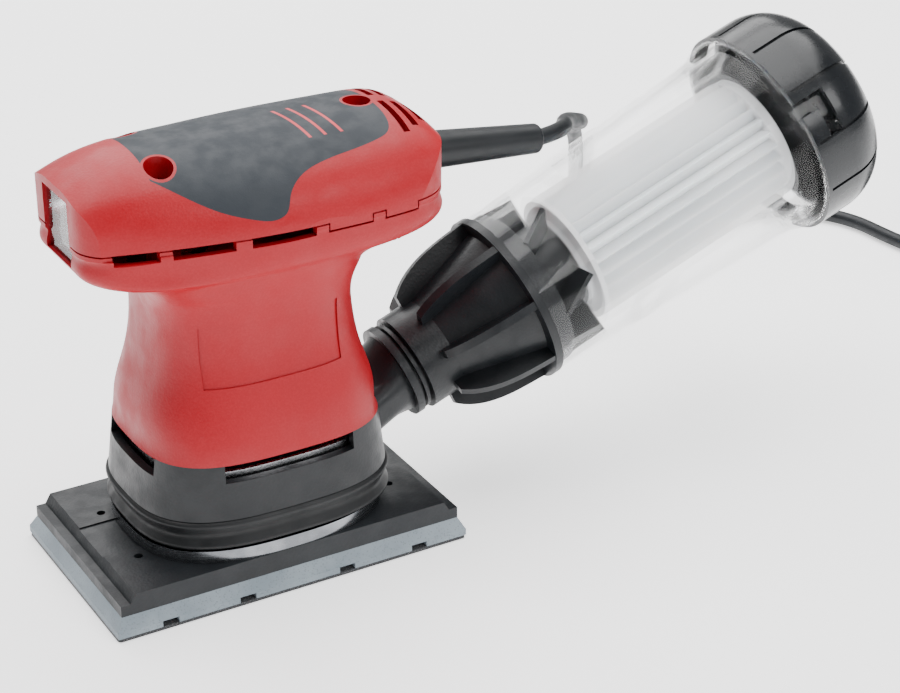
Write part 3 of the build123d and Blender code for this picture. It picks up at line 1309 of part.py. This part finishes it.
# ======================================================== lead
def make_strain_relief():
    body = revolved(
        (0, 0), (RELIEF_FLANGE_RADIUS, 0), (RELIEF_FLANGE_RADIUS, RELIEF_FLANGE_LENGTH),
        (RELIEF_ROOT_RADIUS, RELIEF_FLANGE_LENGTH), (RELIEF_ROOT_RADIUS, 12.0),
        (RELIEF_TIP_RADIUS, RELIEF_LENGTH), (0, RELIEF_LENGTH),
    )
    body = fillet(body.edges().filter_by(GeomType.CIRCLE).group_by(Axis.Z)[-1], RELIEF_TIP_ROUNDING)
    return RELIEF_PLANE.location * body


def cord_route():
    tip = RELIEF_PLANE.origin + RELIEF_PLANE.z_dir * RELIEF_LENGTH
    return [tip] + [Vector(*point) for point in CORD_ROUTE_AFTER_RELIEF]


def corner_radii(route):
    radii = []
    for before, here, after in zip(route, route[1:], route[2:]):
        turn = (here - before).get_angle(after - here)
        shorter = min((here - before).length, (after - here).length)
        radii.append(0.45 * shorter / tan(radians(turn) / 2))
    return radii


def make_mains_cord():
    route = cord_route()
    radii = corner_radii(route)
    print("lead radii", [round(r, 1) for r in radii])
    print("lead runs", [round((b - a).length, 1) for a, b in zip(route, route[1:])])
    path = FilletPolyline(*route, radius=radii)
    section = Plane(origin=path @ 0, z_dir=path % 0) * Circle(CORD_DIAMETER / 2)
    tube = sweep(section, path)
    area = pi * (CORD_DIAMETER / 2) ** 2
    share = tube.volume / (area * path.length)
    print("lead length", round(path.length, 1), "volume share", round(share, 4))
    return tube


def make_cord_coil():
    mean = COIL_MEAN_DIAMETER / 2
    half = COIL_SECTION / 2
    coil = ring(mean + half, mean - half, COIL_BOTTOM, COIL_BOTTOM + COIL_SECTION)
    coil = fillet(coil.edges().filter_by(GeomType.CIRCLE), 6.0)
    return Pos(COIL_X, COIL_Y, 0) * coil


def make_cord_tie():
    """Band round the coil's section on its +Y side."""
    half = COIL_SECTION / 2 + TIE_GAP
    mean = COIL_MEAN_DIAMETER / 2
    low = COIL_BOTTOM - TIE_GAP
    high = COIL_BOTTOM + COIL_SECTION + TIE_GAP
    band = block(
        mean - half - TIE_THICKNESS, mean + half + TIE_THICKNESS, -TIE_WIDTH / 2, TIE_WIDTH / 2,
        low - TIE_THICKNESS, high + TIE_THICKNESS,
    )
    band = fillet(band.edges().filter_by(Axis.Y), 6.0)
    hole = block(mean - half, mean + half, -TIE_WIDTH, TIE_WIDTH, low, high)
    band -= fillet(hole.edges().filter_by(Axis.Y), 5.0)
    return Pos(COIL_X, COIL_Y, 0) * (Rot(0, 0, 90) * band)


PLUG_Z = COIL_BOTTOM + COIL_SECTION + PLUG_THICKNESS / 2 - 0.4


def plug_frame(piece):
    """Places a piece built with the plug's front face at x = 0 and its neck along +X."""
    return Pos(PLUG_X, PLUG_FRONT_Y, PLUG_Z) * (Rot(0, 0, -90) * piece)


def make_plug_body():
    """Two-pole plug lying on the coil's +X side, its neck towards -Y."""
    grip = extrude(Plane.YZ * RectangleRounded(PLUG_WIDTH, PLUG_THICKNESS, 9.0), PLUG_LENGTH)
    grip = fillet(grip.edges().group_by(Axis.X)[-1], 5.0)
    neck = Pos(PLUG_LENGTH, 0, 0) * (Rot(0, 90, 0) * cylinder(PLUG_NECK_RADIUS, -2.0, PLUG_NECK_LENGTH))
    return plug_frame(grip + neck)


def make_plug_pins():
    pins = []
    for side in (-1, 1):
        pin = Rot(0, -90, 0) * cylinder(PLUG_PIN_DIAMETER / 2, 0, PLUG_PIN_LENGTH)
        pin = fillet(pin.edges().group_by(Axis.X)[0], 1.6)
        pins.append(plug_frame(Pos(0, side * PLUG_PIN_SPACING / 2, 0) * pin))
    return Compound(children=pins)


# ======================================================== all pieces
def write_part(name, shape):
    export_step(shape, f"parts/{name}.step")


def main():
    os.makedirs("parts", exist_ok=True)
    pad_outer, pad_inner, pad_balls = make_pad_bearing()
    low_outer, low_inner, low_balls = make_motor_bearing(
        LOWER_BEARING_OUTER, LOWER_BEARING_WIDTH, LOWER_BEARING_LOW
    )
    up_outer, up_inner, up_balls = make_motor_bearing(
        UPPER_BEARING_OUTER, UPPER_BEARING_WIDTH, UPPER_BEARING_LOW
    )
    parts = {
        "hook_layer": make_hook_layer(),
        "sole_foam": make_sole_foam(),
        "pad_plate": make_pad_plate(),
        "pad_band": make_pad_band(),
        "bearing_carrier": make_bearing_carrier(),
        "pad_screws": make_pad_screws(),
        "pad_bearing_outer_race": pad_outer,
        "pad_bearing_inner_race": pad_inner,
        "pad_bearing_balls": pad_balls,
        "pad_bolt": make_pad_bolt(),
        "eccentric": make_eccentric(),
        "counterweight": make_counterweight(),
        "rotor_shaft": make_rotor_shaft(),
        "fan": make_fan(),
        "armature_core": make_armature_core(),
        "armature_windings": make_armature_windings(),
        "commutator": make_commutator(),
        "lower_bearing_inner_race": low_inner,
        "upper_bearing_inner_race": up_inner,
        "lower_bearing": Compound(children=[low_outer, *low_balls]),
        "upper_bearing": Compound(children=[up_outer, *up_balls]),
        "stator_core": make_stator_core(),
        "field_coils": make_field_coils(),
        "carbon_brushes": make_brushes(),
        "brush_holders": make_brush_holders(),
        "base_ring": make_base_ring(),
        "base_screws": make_base_screws(),
        "elastic_posts": make_elastic_posts(),
        "rubber_boot": make_rubber_boot(),
        "motor_shroud": make_motor_shroud(),
        "motor_housing": make_motor_housing(),
        "head_cover": make_head_cover(),
        "grip_overlay": grip_layer(),
        "head_screws": make_head_screws(),
        "switch_cover": make_switch_cover(),
        "switch_body": make_switch_body(),
        "switch_rocker": make_switch_rocker(),
        "speed_dial": make_speed_dial(),
        "control_board": make_control_board(),
        "strain_relief": make_strain_relief(),
        "dust_port": make_dust_port(),
        "port_seal_rings": make_port_seal_rings(),
        "container_funnel": make_container_funnel(),
        "funnel_seal": make_funnel_seal(),
        "air_guide": make_air_guide(),
        "clear_tube": make_clear_tube(),
        "filter_pleats": make_filter_pleats(),
        "filter_core": make_filter_core(),
        "filter_end_rings": make_filter_end_rings(),
        "end_cap": make_end_cap(),
        "mains_cord": make_mains_cord(),
        "cord_coil": make_cord_coil(),
        "cord_tie": make_cord_tie(),
        "plug_body": make_plug_body(),
        "plug_pins": make_plug_pins(),
    }
    for name, shape in parts.items():
        write_part(name, shape)


main()
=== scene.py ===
import bpy
import random
from math import cos, sin, pi, radians
from mathutils import Matrix, Vector


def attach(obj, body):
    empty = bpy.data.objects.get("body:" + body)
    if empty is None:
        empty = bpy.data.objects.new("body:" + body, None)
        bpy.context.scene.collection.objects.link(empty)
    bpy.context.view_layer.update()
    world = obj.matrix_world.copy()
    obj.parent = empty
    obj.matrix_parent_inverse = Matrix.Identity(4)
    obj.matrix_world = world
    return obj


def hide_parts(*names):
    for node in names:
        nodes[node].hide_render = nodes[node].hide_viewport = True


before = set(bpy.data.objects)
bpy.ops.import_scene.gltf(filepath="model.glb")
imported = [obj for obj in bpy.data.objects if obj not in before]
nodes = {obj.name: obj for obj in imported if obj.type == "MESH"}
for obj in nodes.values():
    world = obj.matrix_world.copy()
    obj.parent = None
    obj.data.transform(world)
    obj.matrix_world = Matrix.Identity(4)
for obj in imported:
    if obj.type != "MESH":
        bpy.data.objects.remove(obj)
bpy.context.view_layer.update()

MM = 0.001
scene = bpy.context.scene

# ------------------------------------------------------------------ camera
CAMERA_AT = Vector((-0.30412, -0.66736, 0.44828))
CAMERA_AZ = radians(-30.124)
CAMERA_EL = radians(27.055)
CAMERA_LENS = 96.0          # millimetres
CAMERA_SENSOR = 36.0
CLIP_NEAR = 0.01
CLIP_FAR = 30.0

camera_data = bpy.data.cameras.new("camera")
camera_data.lens = CAMERA_LENS
camera_data.sensor_width = CAMERA_SENSOR
camera_data.clip_start = CLIP_NEAR
camera_data.clip_end = CLIP_FAR
camera = bpy.data.objects.new("camera", camera_data)
scene.collection.objects.link(camera)
look_back = Vector((
    sin(CAMERA_AZ) * cos(CAMERA_EL),
    -cos(CAMERA_AZ) * cos(CAMERA_EL),
    sin(CAMERA_EL),
))
look_right = Vector((cos(CAMERA_AZ), sin(CAMERA_AZ), 0.0))
look_up = look_back.cross(look_right)
turn = Matrix((look_right, look_up, look_back)).transposed().to_4x4()
turn.translation = CAMERA_AT
camera.matrix_world = turn
scene.camera = camera


# ------------------------------------------------------------------ material helpers
MIX_SHARE, MIX_A, MIX_B, MIX_RESULT = 0, 6, 7, 2    # colour sockets of the Mix node
SHADER_SOCKETS = {
    "color": "Base Color",
    "rough": "Roughness",
    "metal": "Metallic",
    "ior": "IOR",
    "alpha": "Alpha",
    "normal": "Normal",
    "coat": "Coat Weight",
    "coat_rough": "Coat Roughness",
    "glass": "Transmission Weight",
    "spec": "Specular IOR Level",
    "glow": "Emission Strength",
    "sheen": "Sheen Weight",
    "sub": "Subsurface Weight",
}


class Graph:
    """Small builder for a procedural material."""

    def __init__(self, name):
        self.mat = bpy.data.materials.new(name)
        self.mat.use_nodes = True
        self.tree = self.mat.node_tree
        self.tree.nodes.clear()
        self.out = self.add("ShaderNodeOutputMaterial")
        self.shader = self.add("ShaderNodeBsdfPrincipled")
        self.link(self.shader.outputs[0], self.out.inputs[0])
        self.where = self.add("ShaderNodeTexCoord").outputs["Object"]

    def add(self, kind, **settings):
        node = self.tree.nodes.new(kind)
        for key, value in settings.items():
            setattr(node, key, value)
        return node

    def link(self, a, b):
        self.tree.links.new(a, b)

    def put(self, socket, value):
        if hasattr(value, "is_linked"):
            self.link(value, socket)
        else:
            socket.default_value = value

    def scaled(self, scale):
        node = self.add("ShaderNodeMapping")
        self.link(self.where, node.inputs["Vector"])
        node.inputs["Scale"].default_value = scale
        return node.outputs[0]

    def noise(self, scale, detail=3.0, rough=0.55, vector=None):
        node = self.add("ShaderNodeTexNoise")
        self.put(node.inputs["Vector"], vector or self.where)
        node.inputs["Scale"].default_value = scale
        node.inputs["Detail"].default_value = detail
        node.inputs["Roughness"].default_value = rough
        return node.outputs["Fac"]

    def cells(self, scale):
        node = self.add("ShaderNodeTexVoronoi", feature="F1")
        self.link(self.where, node.inputs["Vector"])
        node.inputs["Scale"].default_value = scale
        return node.outputs["Distance"]

    def ramp(self, value, low, high, a=0.0, b=1.0):
        node = self.add("ShaderNodeMapRange", interpolation_type="SMOOTHSTEP")
        self.put(node.inputs["Value"], value)
        node.inputs["From Min"].default_value = low
        node.inputs["From Max"].default_value = high
        node.inputs["To Min"].default_value = a
        node.inputs["To Max"].default_value = b
        return node.outputs["Result"]

    def maths(self, operation, a, b):
        node = self.add("ShaderNodeMath", operation=operation)
        self.put(node.inputs[0], a)
        self.put(node.inputs[1], b)
        return node.outputs[0]

    def axis(self, which):
        node = self.add("ShaderNodeSeparateXYZ")
        self.link(self.where, node.inputs[0])
        return node.outputs[which]

    def between(self, value, low, high, soft):
        up = self.ramp(value, low - soft, low + soft)
        down = self.ramp(value, high - soft, high + soft, 1.0, 0.0)
        return self.maths("MULTIPLY", up, down)

    def mix(self, share, a, b):
        node = self.add("ShaderNodeMix", data_type="RGBA")
        self.put(node.inputs[MIX_SHARE], share)
        self.put(node.inputs[MIX_A], a)
        self.put(node.inputs[MIX_B], b)
        return node.outputs[MIX_RESULT]

    def bump(self, height, strength, distance):
        node = self.add("ShaderNodeBump")
        self.put(node.inputs["Height"], height)
        node.inputs["Strength"].default_value = strength
        node.inputs["Distance"].default_value = distance
        return node.outputs[0]

    def set(self, **sockets):
        for key, value in sockets.items():
            self.put(self.shader.inputs[SHADER_SOCKETS[key]], value)
        return self.mat


def rgb(r, g, b):
    """sRGB 0-255 to linear."""
    def one(v):
        v /= 255.0
        return v / 12.92 if v <= 0.04045 else ((v + 0.055) / 1.055) ** 2.4
    return (one(r), one(g), one(b), 1.0)


def plastic(name, base, worn, rough, grain=1600.0, depth=0.00006, spread=0.08, coat=0.0):
    """Moulded plastic: fine spark-eroded grain, faint cloudiness, uneven sheen."""
    g = Graph(name)
    cloud = g.ramp(g.noise(38.0, 4.0), 0.35, 0.65)
    speck = g.ramp(g.noise(grain * 0.9, 2.0), 0.38, 0.68)
    color = g.mix(g.maths("MULTIPLY", cloud, 0.3), base, worn)
    color = g.mix(g.maths("MULTIPLY", speck, 0.12), color, worn)
    sheen = g.ramp(g.noise(120.0, 3.0), 0.3, 0.7, rough - spread, rough + spread)
    fine = g.maths("ADD", g.noise(grain, 3.0, 0.6), g.cells(grain * 0.7))
    return g.set(
        color=color, rough=sheen, normal=g.bump(fine, 0.55, depth),
        coat=coat, coat_rough=0.2, spec=0.35,
    )


def metal(name, base, dark, rough, stretch=(1.0, 1.0, 1.0), scale=900.0, depth=0.00002):
    """Metal with drawn or turned lines and small differences in sheen."""
    g = Graph(name)
    lines = g.noise(scale, 4.0, 0.6, g.scaled(stretch))
    cloud = g.ramp(g.noise(60.0, 3.0), 0.35, 0.65)
    color = g.mix(cloud, base, dark)
    return g.set(
        color=color, metal=1.0, rough=g.ramp(lines, 0.3, 0.7, rough * 0.7, rough * 1.3),
        normal=g.bump(lines, 0.35, depth),
    )


def rubber(name, base, dusty, rough=0.62, grain=1300.0, depth=0.00005):
    """Moulded rubber: matt, fine grain and a thin uneven film of dust."""
    g = Graph(name)
    film = g.ramp(g.noise(70.0, 5.0, 0.6), 0.42, 0.72)
    color = g.mix(g.maths("MULTIPLY", film, 0.3), base, dusty)
    fine = g.noise(grain, 4.0, 0.65)
    return g.set(
        color=color, rough=g.ramp(g.noise(140.0), 0.3, 0.7, rough - 0.08, rough + 0.1),
        normal=g.bump(fine, 0.5, depth), spec=0.35,
    )


def paint(material, names):
    """One material on the whole of each named CAD piece."""
    for name in names:
        mesh = nodes[name].data
        mesh.materials.clear()
        mesh.materials.append(material)
        for face in mesh.polygons:
            face.material_index = 0


# ------------------------------------------------------------------ lead, in millimetres
RELIEF_TIP = (118.78, 0.0, 127.86)
ROUTE = (
    (133.9, 4.7, 126.5), (140.2, 16.7, 125.0), (157.5, 28.5, 116.7), (166.6, 51.4, 106.4),
    (183.1, 72.4, 88.0), (190.5, 84.0, 62.0), (206.0, 100.0, 38.0), (231.0, 115.0, 14.5),
    (263.0, 127.0, 4.4), (299.0, 133.0, 3.2), (335.0, 131.0, 3.2), (355.0, 108.0, 3.2),
    (357.5, 78.0, 3.2), (361.0, 60.0, 3.5),
)
LEAD_TO_PLUG = ((424.0, 8.0, 25.0), (434.0, 12.0, 32.0), (440.0, 18.0, 37.2), (441.0, 27.0, 38.3))
COIL_AT = (405.0, 40.0)
CORD_RADIUS = 3.0
COIL_ROWS = (                # height of each row and the radii of its turns
    (4.3, (45.0, 39.0, 33.0, 27.0)),
    (9.5, (30.0, 36.0, 42.0)),
    (14.7, (45.0, 39.0, 33.0, 27.0)),
    (19.9, (30.0, 42.0, 36.0)),
)
COIL_SEED = 7
COIL_WOBBLE = 0.25
POINTS_PER_TURN = 14
EASE_FROM = 0.7             # share of a turn after which it moves to the next place
EASE_SPAN = 0.3
LAST_TURN_SHARE = 0.32


def coil_points():
    """Turns laid in rows; each turn eases into the next one's place near its end."""
    random.seed(COIL_SEED)
    places = [(z, r) for z, radii in COIL_ROWS for r in radii]
    points = []
    start = pi                  # the coil begins on its side nearest the tool
    for k, (z, r) in enumerate(places):
        nz, nr = places[min(k + 1, len(places) - 1)]
        for j in range(POINTS_PER_TURN):
            share = j / POINTS_PER_TURN
            ease = max(0.0, (share - EASE_FROM) / EASE_SPAN)
            ease = ease * ease * (3 - 2 * ease)
            if k == len(places) - 1 and share > LAST_TURN_SHARE:
                break
            angle = start + 2 * pi * share
            radius = r + (nr - r) * ease + random.uniform(-COIL_WOBBLE, COIL_WOBBLE)
            points.append((
                COIL_AT[0] + radius * cos(angle),
                COIL_AT[1] + radius * sin(angle),
                z + (nz - z) * ease,
            ))
    return points


def curve(name, points, radius):
    """Round cord through control points in millimetres."""
    data = bpy.data.curves.new(name, "CURVE")
    data.dimensions = "3D"
    data.bevel_depth = radius * MM
    data.bevel_resolution = 5
    data.resolution_u = 10
    data.use_fill_caps = True
    spline = data.splines.new("NURBS")
    spline.points.add(len(points) - 1)
    for p, q in zip(spline.points, points):
        p.co = (q[0] * MM, q[1] * MM, q[2] * MM, 1.0)
    spline.use_endpoint_u = True
    spline.order_u = 3
    obj = bpy.data.objects.new(name, data)
    scene.collection.objects.link(obj)
    return obj


RUBBER_BLACK = rubber("cord_rubber", rgb(19, 22, 25), rgb(38, 42, 46), 0.46)
cord = curve("lead", [RELIEF_TIP, *ROUTE, *coil_points(), *LEAD_TO_PLUG], CORD_RADIUS)
cord.data.materials.append(RUBBER_BLACK)
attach(cord, "body")
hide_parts("mains_cord", "cord_coil")


def line_length(obj):
    """Length of a curve's centre line in metres."""
    bare = obj.data.copy()
    bare.bevel_depth = 0.0
    holder = bpy.data.objects.new("measure", bare)
    scene.collection.objects.link(holder)
    bpy.context.view_layer.update()
    evaluated = holder.evaluated_get(bpy.context.evaluated_depsgraph_get())
    mesh = bpy.data.meshes.new_from_object(evaluated)
    at = [vertex.co for vertex in mesh.vertices]
    total = sum((at[edge.vertices[0]] - at[edge.vertices[1]]).length for edge in mesh.edges)
    bpy.data.objects.remove(holder)
    return total


CORD_LENGTH = line_length(cord)

# ------------------------------------------------------------------ CAD materials
STRIPES = (0.0177, 0.0232, 0.0292)      # place along X where each crosses the middle
STRIPE_LEAN = 0.18
STRIPE_HALF_WIDTH = 0.00055
STRIPE_FROM = -0.0172
STRIPE_TO = 0.0036


def red_material():
    """Red moulding, a little deeper in random clouds and paler in fine random specks."""
    g = Graph("housing_red")
    cloud = g.ramp(g.noise(30.0, 4.0), 0.35, 0.65)
    speck = g.ramp(g.noise(1400.0, 2.0), 0.40, 0.66)
    color = g.mix(g.maths("MULTIPLY", cloud, 0.5), rgb(157, 1, 19), rgb(164, 3, 23))
    color = g.mix(g.maths("MULTIPLY", speck, 0.1), color, rgb(206, 48, 58))
    fine = g.maths("ADD", g.noise(1500.0, 3.0, 0.6), g.cells(1050.0))
    return g.set(
        color=color, rough=g.ramp(g.noise(120.0, 3.0), 0.3, 0.7, 0.36, 0.5),
        normal=g.bump(fine, 0.5, 0.00006), spec=0.32,
    )


def grip_material():
    """Soft grip with a fine leather-like grain and three printed stripes on its top."""
    g = Graph("grip_rubber")
    film = g.ramp(g.noise(70.0, 5.0, 0.6), 0.42, 0.72)
    color = g.mix(g.maths("MULTIPLY", film, 0.25), rgb(39, 44, 50), rgb(44, 49, 55))
    across = g.between(g.axis(1), STRIPE_FROM, STRIPE_TO, 0.0002)
    marks = None
    line = g.maths("ADD", g.axis(0), g.maths("MULTIPLY", g.axis(1), STRIPE_LEAN))
    for x in STRIPES:
        stripe = g.between(line, x - STRIPE_HALF_WIDTH, x + STRIPE_HALF_WIDTH, 0.0001)
        marks = stripe if marks is None else g.maths("MAXIMUM", marks, stripe)
    wear = g.ramp(g.noise(900.0), 0.25, 0.4, 0.8, 1.0)
    marks = g.maths("MULTIPLY", g.maths("MULTIPLY", marks, across), wear)
    color = g.mix(marks, color, rgb(206, 66, 74))
    fine = g.noise(1500.0, 4.0, 0.65)
    return g.set(
        color=color, rough=g.ramp(g.noise(140.0), 0.3, 0.7, 0.5, 0.68),
        normal=g.bump(fine, 0.5, 0.00006), spec=0.35,
    )


RED = red_material()
GRIP = grip_material()
CHARCOAL = plastic("dark_plastic", rgb(17, 20, 23), rgb(32, 35, 39), 0.4, 1300.0, 0.00006)
PAD_BLACK = plastic("pad_plastic", rgb(24, 27, 30), rgb(40, 44, 48), 0.46, 1200.0, 0.00008)
FAN_BLACK = plastic("fan_plastic", rgb(40, 41, 44), rgb(60, 62, 66), 0.45)
ROCKER_BLACK = plastic(
    "rocker_plastic", rgb(28, 29, 32), rgb(46, 48, 52), 0.3, 1800.0, 0.00003,
)
SWITCH_BLACK = plastic("switch_plastic", rgb(42, 44, 47), rgb(60, 62, 66), 0.45)
DIAL_BLACK = plastic("dial_plastic", rgb(34, 36, 39), rgb(56, 58, 62), 0.4)
CAP_BLACK = plastic(
    "cap_plastic", rgb(15, 18, 21), rgb(24, 27, 31), 0.26,
    grain=900.0, depth=0.00003, spread=0.05, coat=0.15,
)
GREEN = plastic("board_resin", rgb(32, 92, 52), rgb(52, 120, 70), 0.35)
GREY_PLASTIC = plastic("filter_plastic", rgb(232, 234, 236), rgb(244, 245, 246), 0.5)
TIE_BLACK = plastic("tie_plastic", rgb(34, 35, 38), rgb(52, 54, 58), 0.45)
CARBON = plastic("brush_carbon", rgb(30, 30, 31), rgb(48, 48, 50), 0.6)
BOOT = rubber("boot_rubber", rgb(15, 17, 19), rgb(28, 31, 34), 0.5)
POST = rubber("post_rubber", rgb(36, 37, 40), rgb(58, 60, 64), 0.6)
SEAL = rubber("seal_rubber", rgb(26, 27, 29), rgb(46, 48, 51), 0.5)
STEEL = metal("screw_steel", rgb(150, 152, 156), rgb(112, 114, 118), 0.34)
BEARING = metal("bearing_steel", rgb(200, 202, 206), rgb(170, 172, 176), 0.18)
SHAFT = metal("shaft_steel", rgb(176, 178, 182), rgb(146, 148, 152), 0.24, (1.0, 1.0, 0.05))
WEIGHT = metal("weight_steel", rgb(120, 122, 126), rgb(92, 94, 98), 0.42)
ALLOY = metal("carrier_alloy", rgb(182, 184, 187), rgb(150, 152, 156), 0.42)
SHROUD = metal("shroud_alloy", rgb(214, 216, 219), rgb(186, 188, 192), 0.26, (1.0, 1.0, 12.0))
LAMINATION = metal(
    "lamination", rgb(110, 112, 116), rgb(78, 80, 84), 0.4, (0.02, 0.02, 6.0), 700.0, 0.0001,
)
COPPER = metal("copper_winding", rgb(198, 112, 62), rgb(150, 76, 40), 0.32, (1.0, 1.0, 5.0))
COMMUTATOR = metal(
    "commutator_copper", rgb(206, 130, 84), rgb(168, 98, 58), 0.26, (1.0, 1.0, 8.0),
)
BRASS = metal("brush_brass", rgb(206, 170, 96), rgb(170, 136, 70), 0.3)
PINS = metal("pin_brass", rgb(208, 198, 168), rgb(178, 166, 136), 0.22, (0.05, 1.0, 1.0))
BAND = metal(
    "band_steel", rgb(150, 153, 157), rgb(118, 121, 125), 0.24, (0.06, 0.06, 14.0), 700.0, 0.00001,
)


def foam_material():
    """Closed-cell foam: pale blue-grey skin with open pores on the cut sides, their hollows
    darkened with painted shade.
    """
    g = Graph("pad_foam")
    pores = g.ramp(g.cells(1100.0), 0.05, 0.42, 0.0, 1.0)
    cloud = g.ramp(g.noise(45.0, 4.0), 0.3, 0.7)
    color = g.mix(cloud, rgb(122, 134, 142), rgb(142, 153, 160))
    # painted shade: the pore hollows, low in the bump, are coloured darker
    pore_shade = g.maths("MULTIPLY", g.maths("SUBTRACT", 1.0, pores), 0.5)
    color = g.mix(pore_shade, color, rgb(104, 112, 118))
    return g.set(
        color=color, rough=g.ramp(cloud, 0.0, 1.0, 0.78, 0.92),
        normal=g.bump(pores, 0.7, 0.00018), sheen=0.15,
    )


def hook_material():
    """Dense dark stubble of hooks, with painted shade in the dips between them."""
    g = Graph("hook_edge")
    hooks = g.ramp(g.cells(1500.0), 0.05, 0.5)
    # painted shade: the dips between the hooks, low in the bump, are coloured darker
    color = g.mix(hooks, rgb(14, 15, 16), rgb(46, 48, 51))
    return g.set(
        color=color, rough=g.ramp(g.noise(300.0), 0.3, 0.7, 0.8, 0.95),
        normal=g.bump(hooks, 1.0, 0.0004), sheen=0.3,
    )


def filter_material():
    """White pleated paper, a little fibrous and translucent."""
    g = Graph("filter_paper")
    fibre = g.noise(1500.0, 5.0, 0.7, g.scaled((0.35, 1.0, 1.0)))
    cloud = g.ramp(g.noise(30.0, 4.0), 0.3, 0.7)
    color = g.mix(cloud, rgb(246, 247, 247), rgb(252, 252, 252))
    return g.set(
        color=color, rough=g.ramp(fibre, 0.3, 0.7, 0.75, 0.95),
        normal=g.bump(fibre, 0.35, 0.00008), sub=0.15,
    )


def clear_material(name, tint, shade, rough, alpha):
    """Clear moulding: thin-walled look with flow lines and light scuffs."""
    g = Graph(name)
    flow = g.noise(45.0, 3.0, 0.5, g.scaled((0.35, 1.0, 1.0)))
    scuff = g.ramp(g.noise(420.0, 5.0, 0.7, g.scaled((0.2, 1.0, 1.0))), 0.62, 0.8)
    color = g.mix(g.ramp(flow, 0.3, 0.7), tint, shade)
    roughness = g.maths("ADD", g.maths("MULTIPLY", scuff, 0.05), rough)
    return g.set(
        color=color, rough=roughness, glass=1.0, ior=1.1, alpha=alpha,
        normal=g.bump(flow, 0.1, 0.0001), coat=1.0, coat_rough=0.03,
    )


FOAM = foam_material()
HOOKS = hook_material()
PAPER = filter_material()
CLEAR = clear_material(
    "container_clear", rgb(254, 254, 254), rgb(249, 250, 251), rough=0.01, alpha=0.26,
)
SWITCH_CLEAR = clear_material(
    "switch_clear", rgb(216, 220, 224), rgb(196, 200, 206), rough=0.05, alpha=0.55,
)

FINISHES = (
    (RED, "motor_housing head_cover"),
    (GRIP, "grip_overlay"),
    (CHARCOAL, "base_ring dust_port container_funnel air_guide"),
    (PAD_BLACK, "pad_plate"),
    (BOOT, "rubber_boot"),
    (POST, "elastic_posts"),
    (SEAL, "port_seal_rings funnel_seal"),
    (RUBBER_BLACK, "strain_relief plug_body"),
    (TIE_BLACK, "cord_tie"),
    (STEEL, "pad_screws pad_bolt base_screws head_screws"),
    (BEARING, "pad_bearing_outer_race pad_bearing_inner_race pad_bearing_balls"),
    (BEARING, "lower_bearing lower_bearing_inner_race upper_bearing upper_bearing_inner_race"),
    (SHAFT, "rotor_shaft eccentric"),
    (WEIGHT, "counterweight"),
    (ALLOY, "bearing_carrier"),
    (SHROUD, "motor_shroud"),
    (FAN_BLACK, "fan"),
    (LAMINATION, "armature_core stator_core"),
    (COPPER, "armature_windings field_coils"),
    (COMMUTATOR, "commutator"),
    (CARBON, "carbon_brushes"),
    (BRASS, "brush_holders"),
    (GREEN, "control_board"),
    (SWITCH_BLACK, "switch_body"),
    (ROCKER_BLACK, "switch_rocker"),
    (SWITCH_CLEAR, "switch_cover"),
    (DIAL_BLACK, "speed_dial"),
    (GREY_PLASTIC, "filter_core filter_end_rings"),
    (PAPER, "filter_pleats"),
    (CLEAR, "clear_tube"),
    (CAP_BLACK, "end_cap"),
    (PINS, "plug_pins"),
    (BAND, "pad_band"),
    (FOAM, "sole_foam"),
    (HOOKS, "hook_layer"),
)
for finish, names in FINISHES:
    paint(finish, names.split())

# ------------------------------------------------------------------ stage
FLOOR_SIZE = 8.0            # metres
FLOOR_AT = (0.1, 0.3, -0.0002)
FLOOR_GLOW = 0.9            # lifts the pale floor towards the photograph's white
WORLD_COLOR = (1.0, 1.0, 1.0, 1.0)
WORLD_STRENGTH = 0.34
LIGHTS = (                  # name, place, aim, width, height, watts
    ("overhead", (0.3, 0.4, 1.9), (0.15, 0.15, 0.0), 2.4, 2.4, 96.0),
    ("key", (0.5, -1.1, 0.8), (0.08, 0.0, 0.06), 0.7, 0.5, 7.0),
    ("rim", (0.3, 1.3, 0.9), (0.1, 0.0, 0.08), 1.4, 0.5, 10.0),
)


def floor_material():
    """Pale matt paper with faint clouding."""
    g = Graph("floor_white")
    cloud = g.ramp(g.noise(6.0, 3.0), 0.3, 0.7)
    color = g.mix(cloud, rgb(250, 250, 250), rgb(247, 247, 248))
    rough = g.ramp(g.noise(300.0), 0.3, 0.7, 0.85, 0.95)
    return g.set(color=color, rough=rough, glow=FLOOR_GLOW)


bpy.ops.mesh.primitive_plane_add(size=FLOOR_SIZE, location=FLOOR_AT)
floor = bpy.context.object
floor.name = "floor"
floor.data.materials.append(floor_material())

world = bpy.data.worlds.new("studio")
scene.world = world
world.use_nodes = True
background = world.node_tree.nodes["Background"]
background.inputs["Color"].default_value = WORLD_COLOR
background.inputs["Strength"].default_value = WORLD_STRENGTH


def area_light(name, at, aim, width, height, watts):
    data = bpy.data.lights.new(name, "AREA")
    data.shape = "RECTANGLE"
    data.size = width
    data.size_y = height
    data.energy = watts
    obj = bpy.data.objects.new(name, data)
    scene.collection.objects.link(obj)
    obj.location = at
    obj.rotation_euler = (Vector(aim) - Vector(at)).to_track_quat("-Z", "Y").to_euler()


for light in LIGHTS:
    area_light(*light)
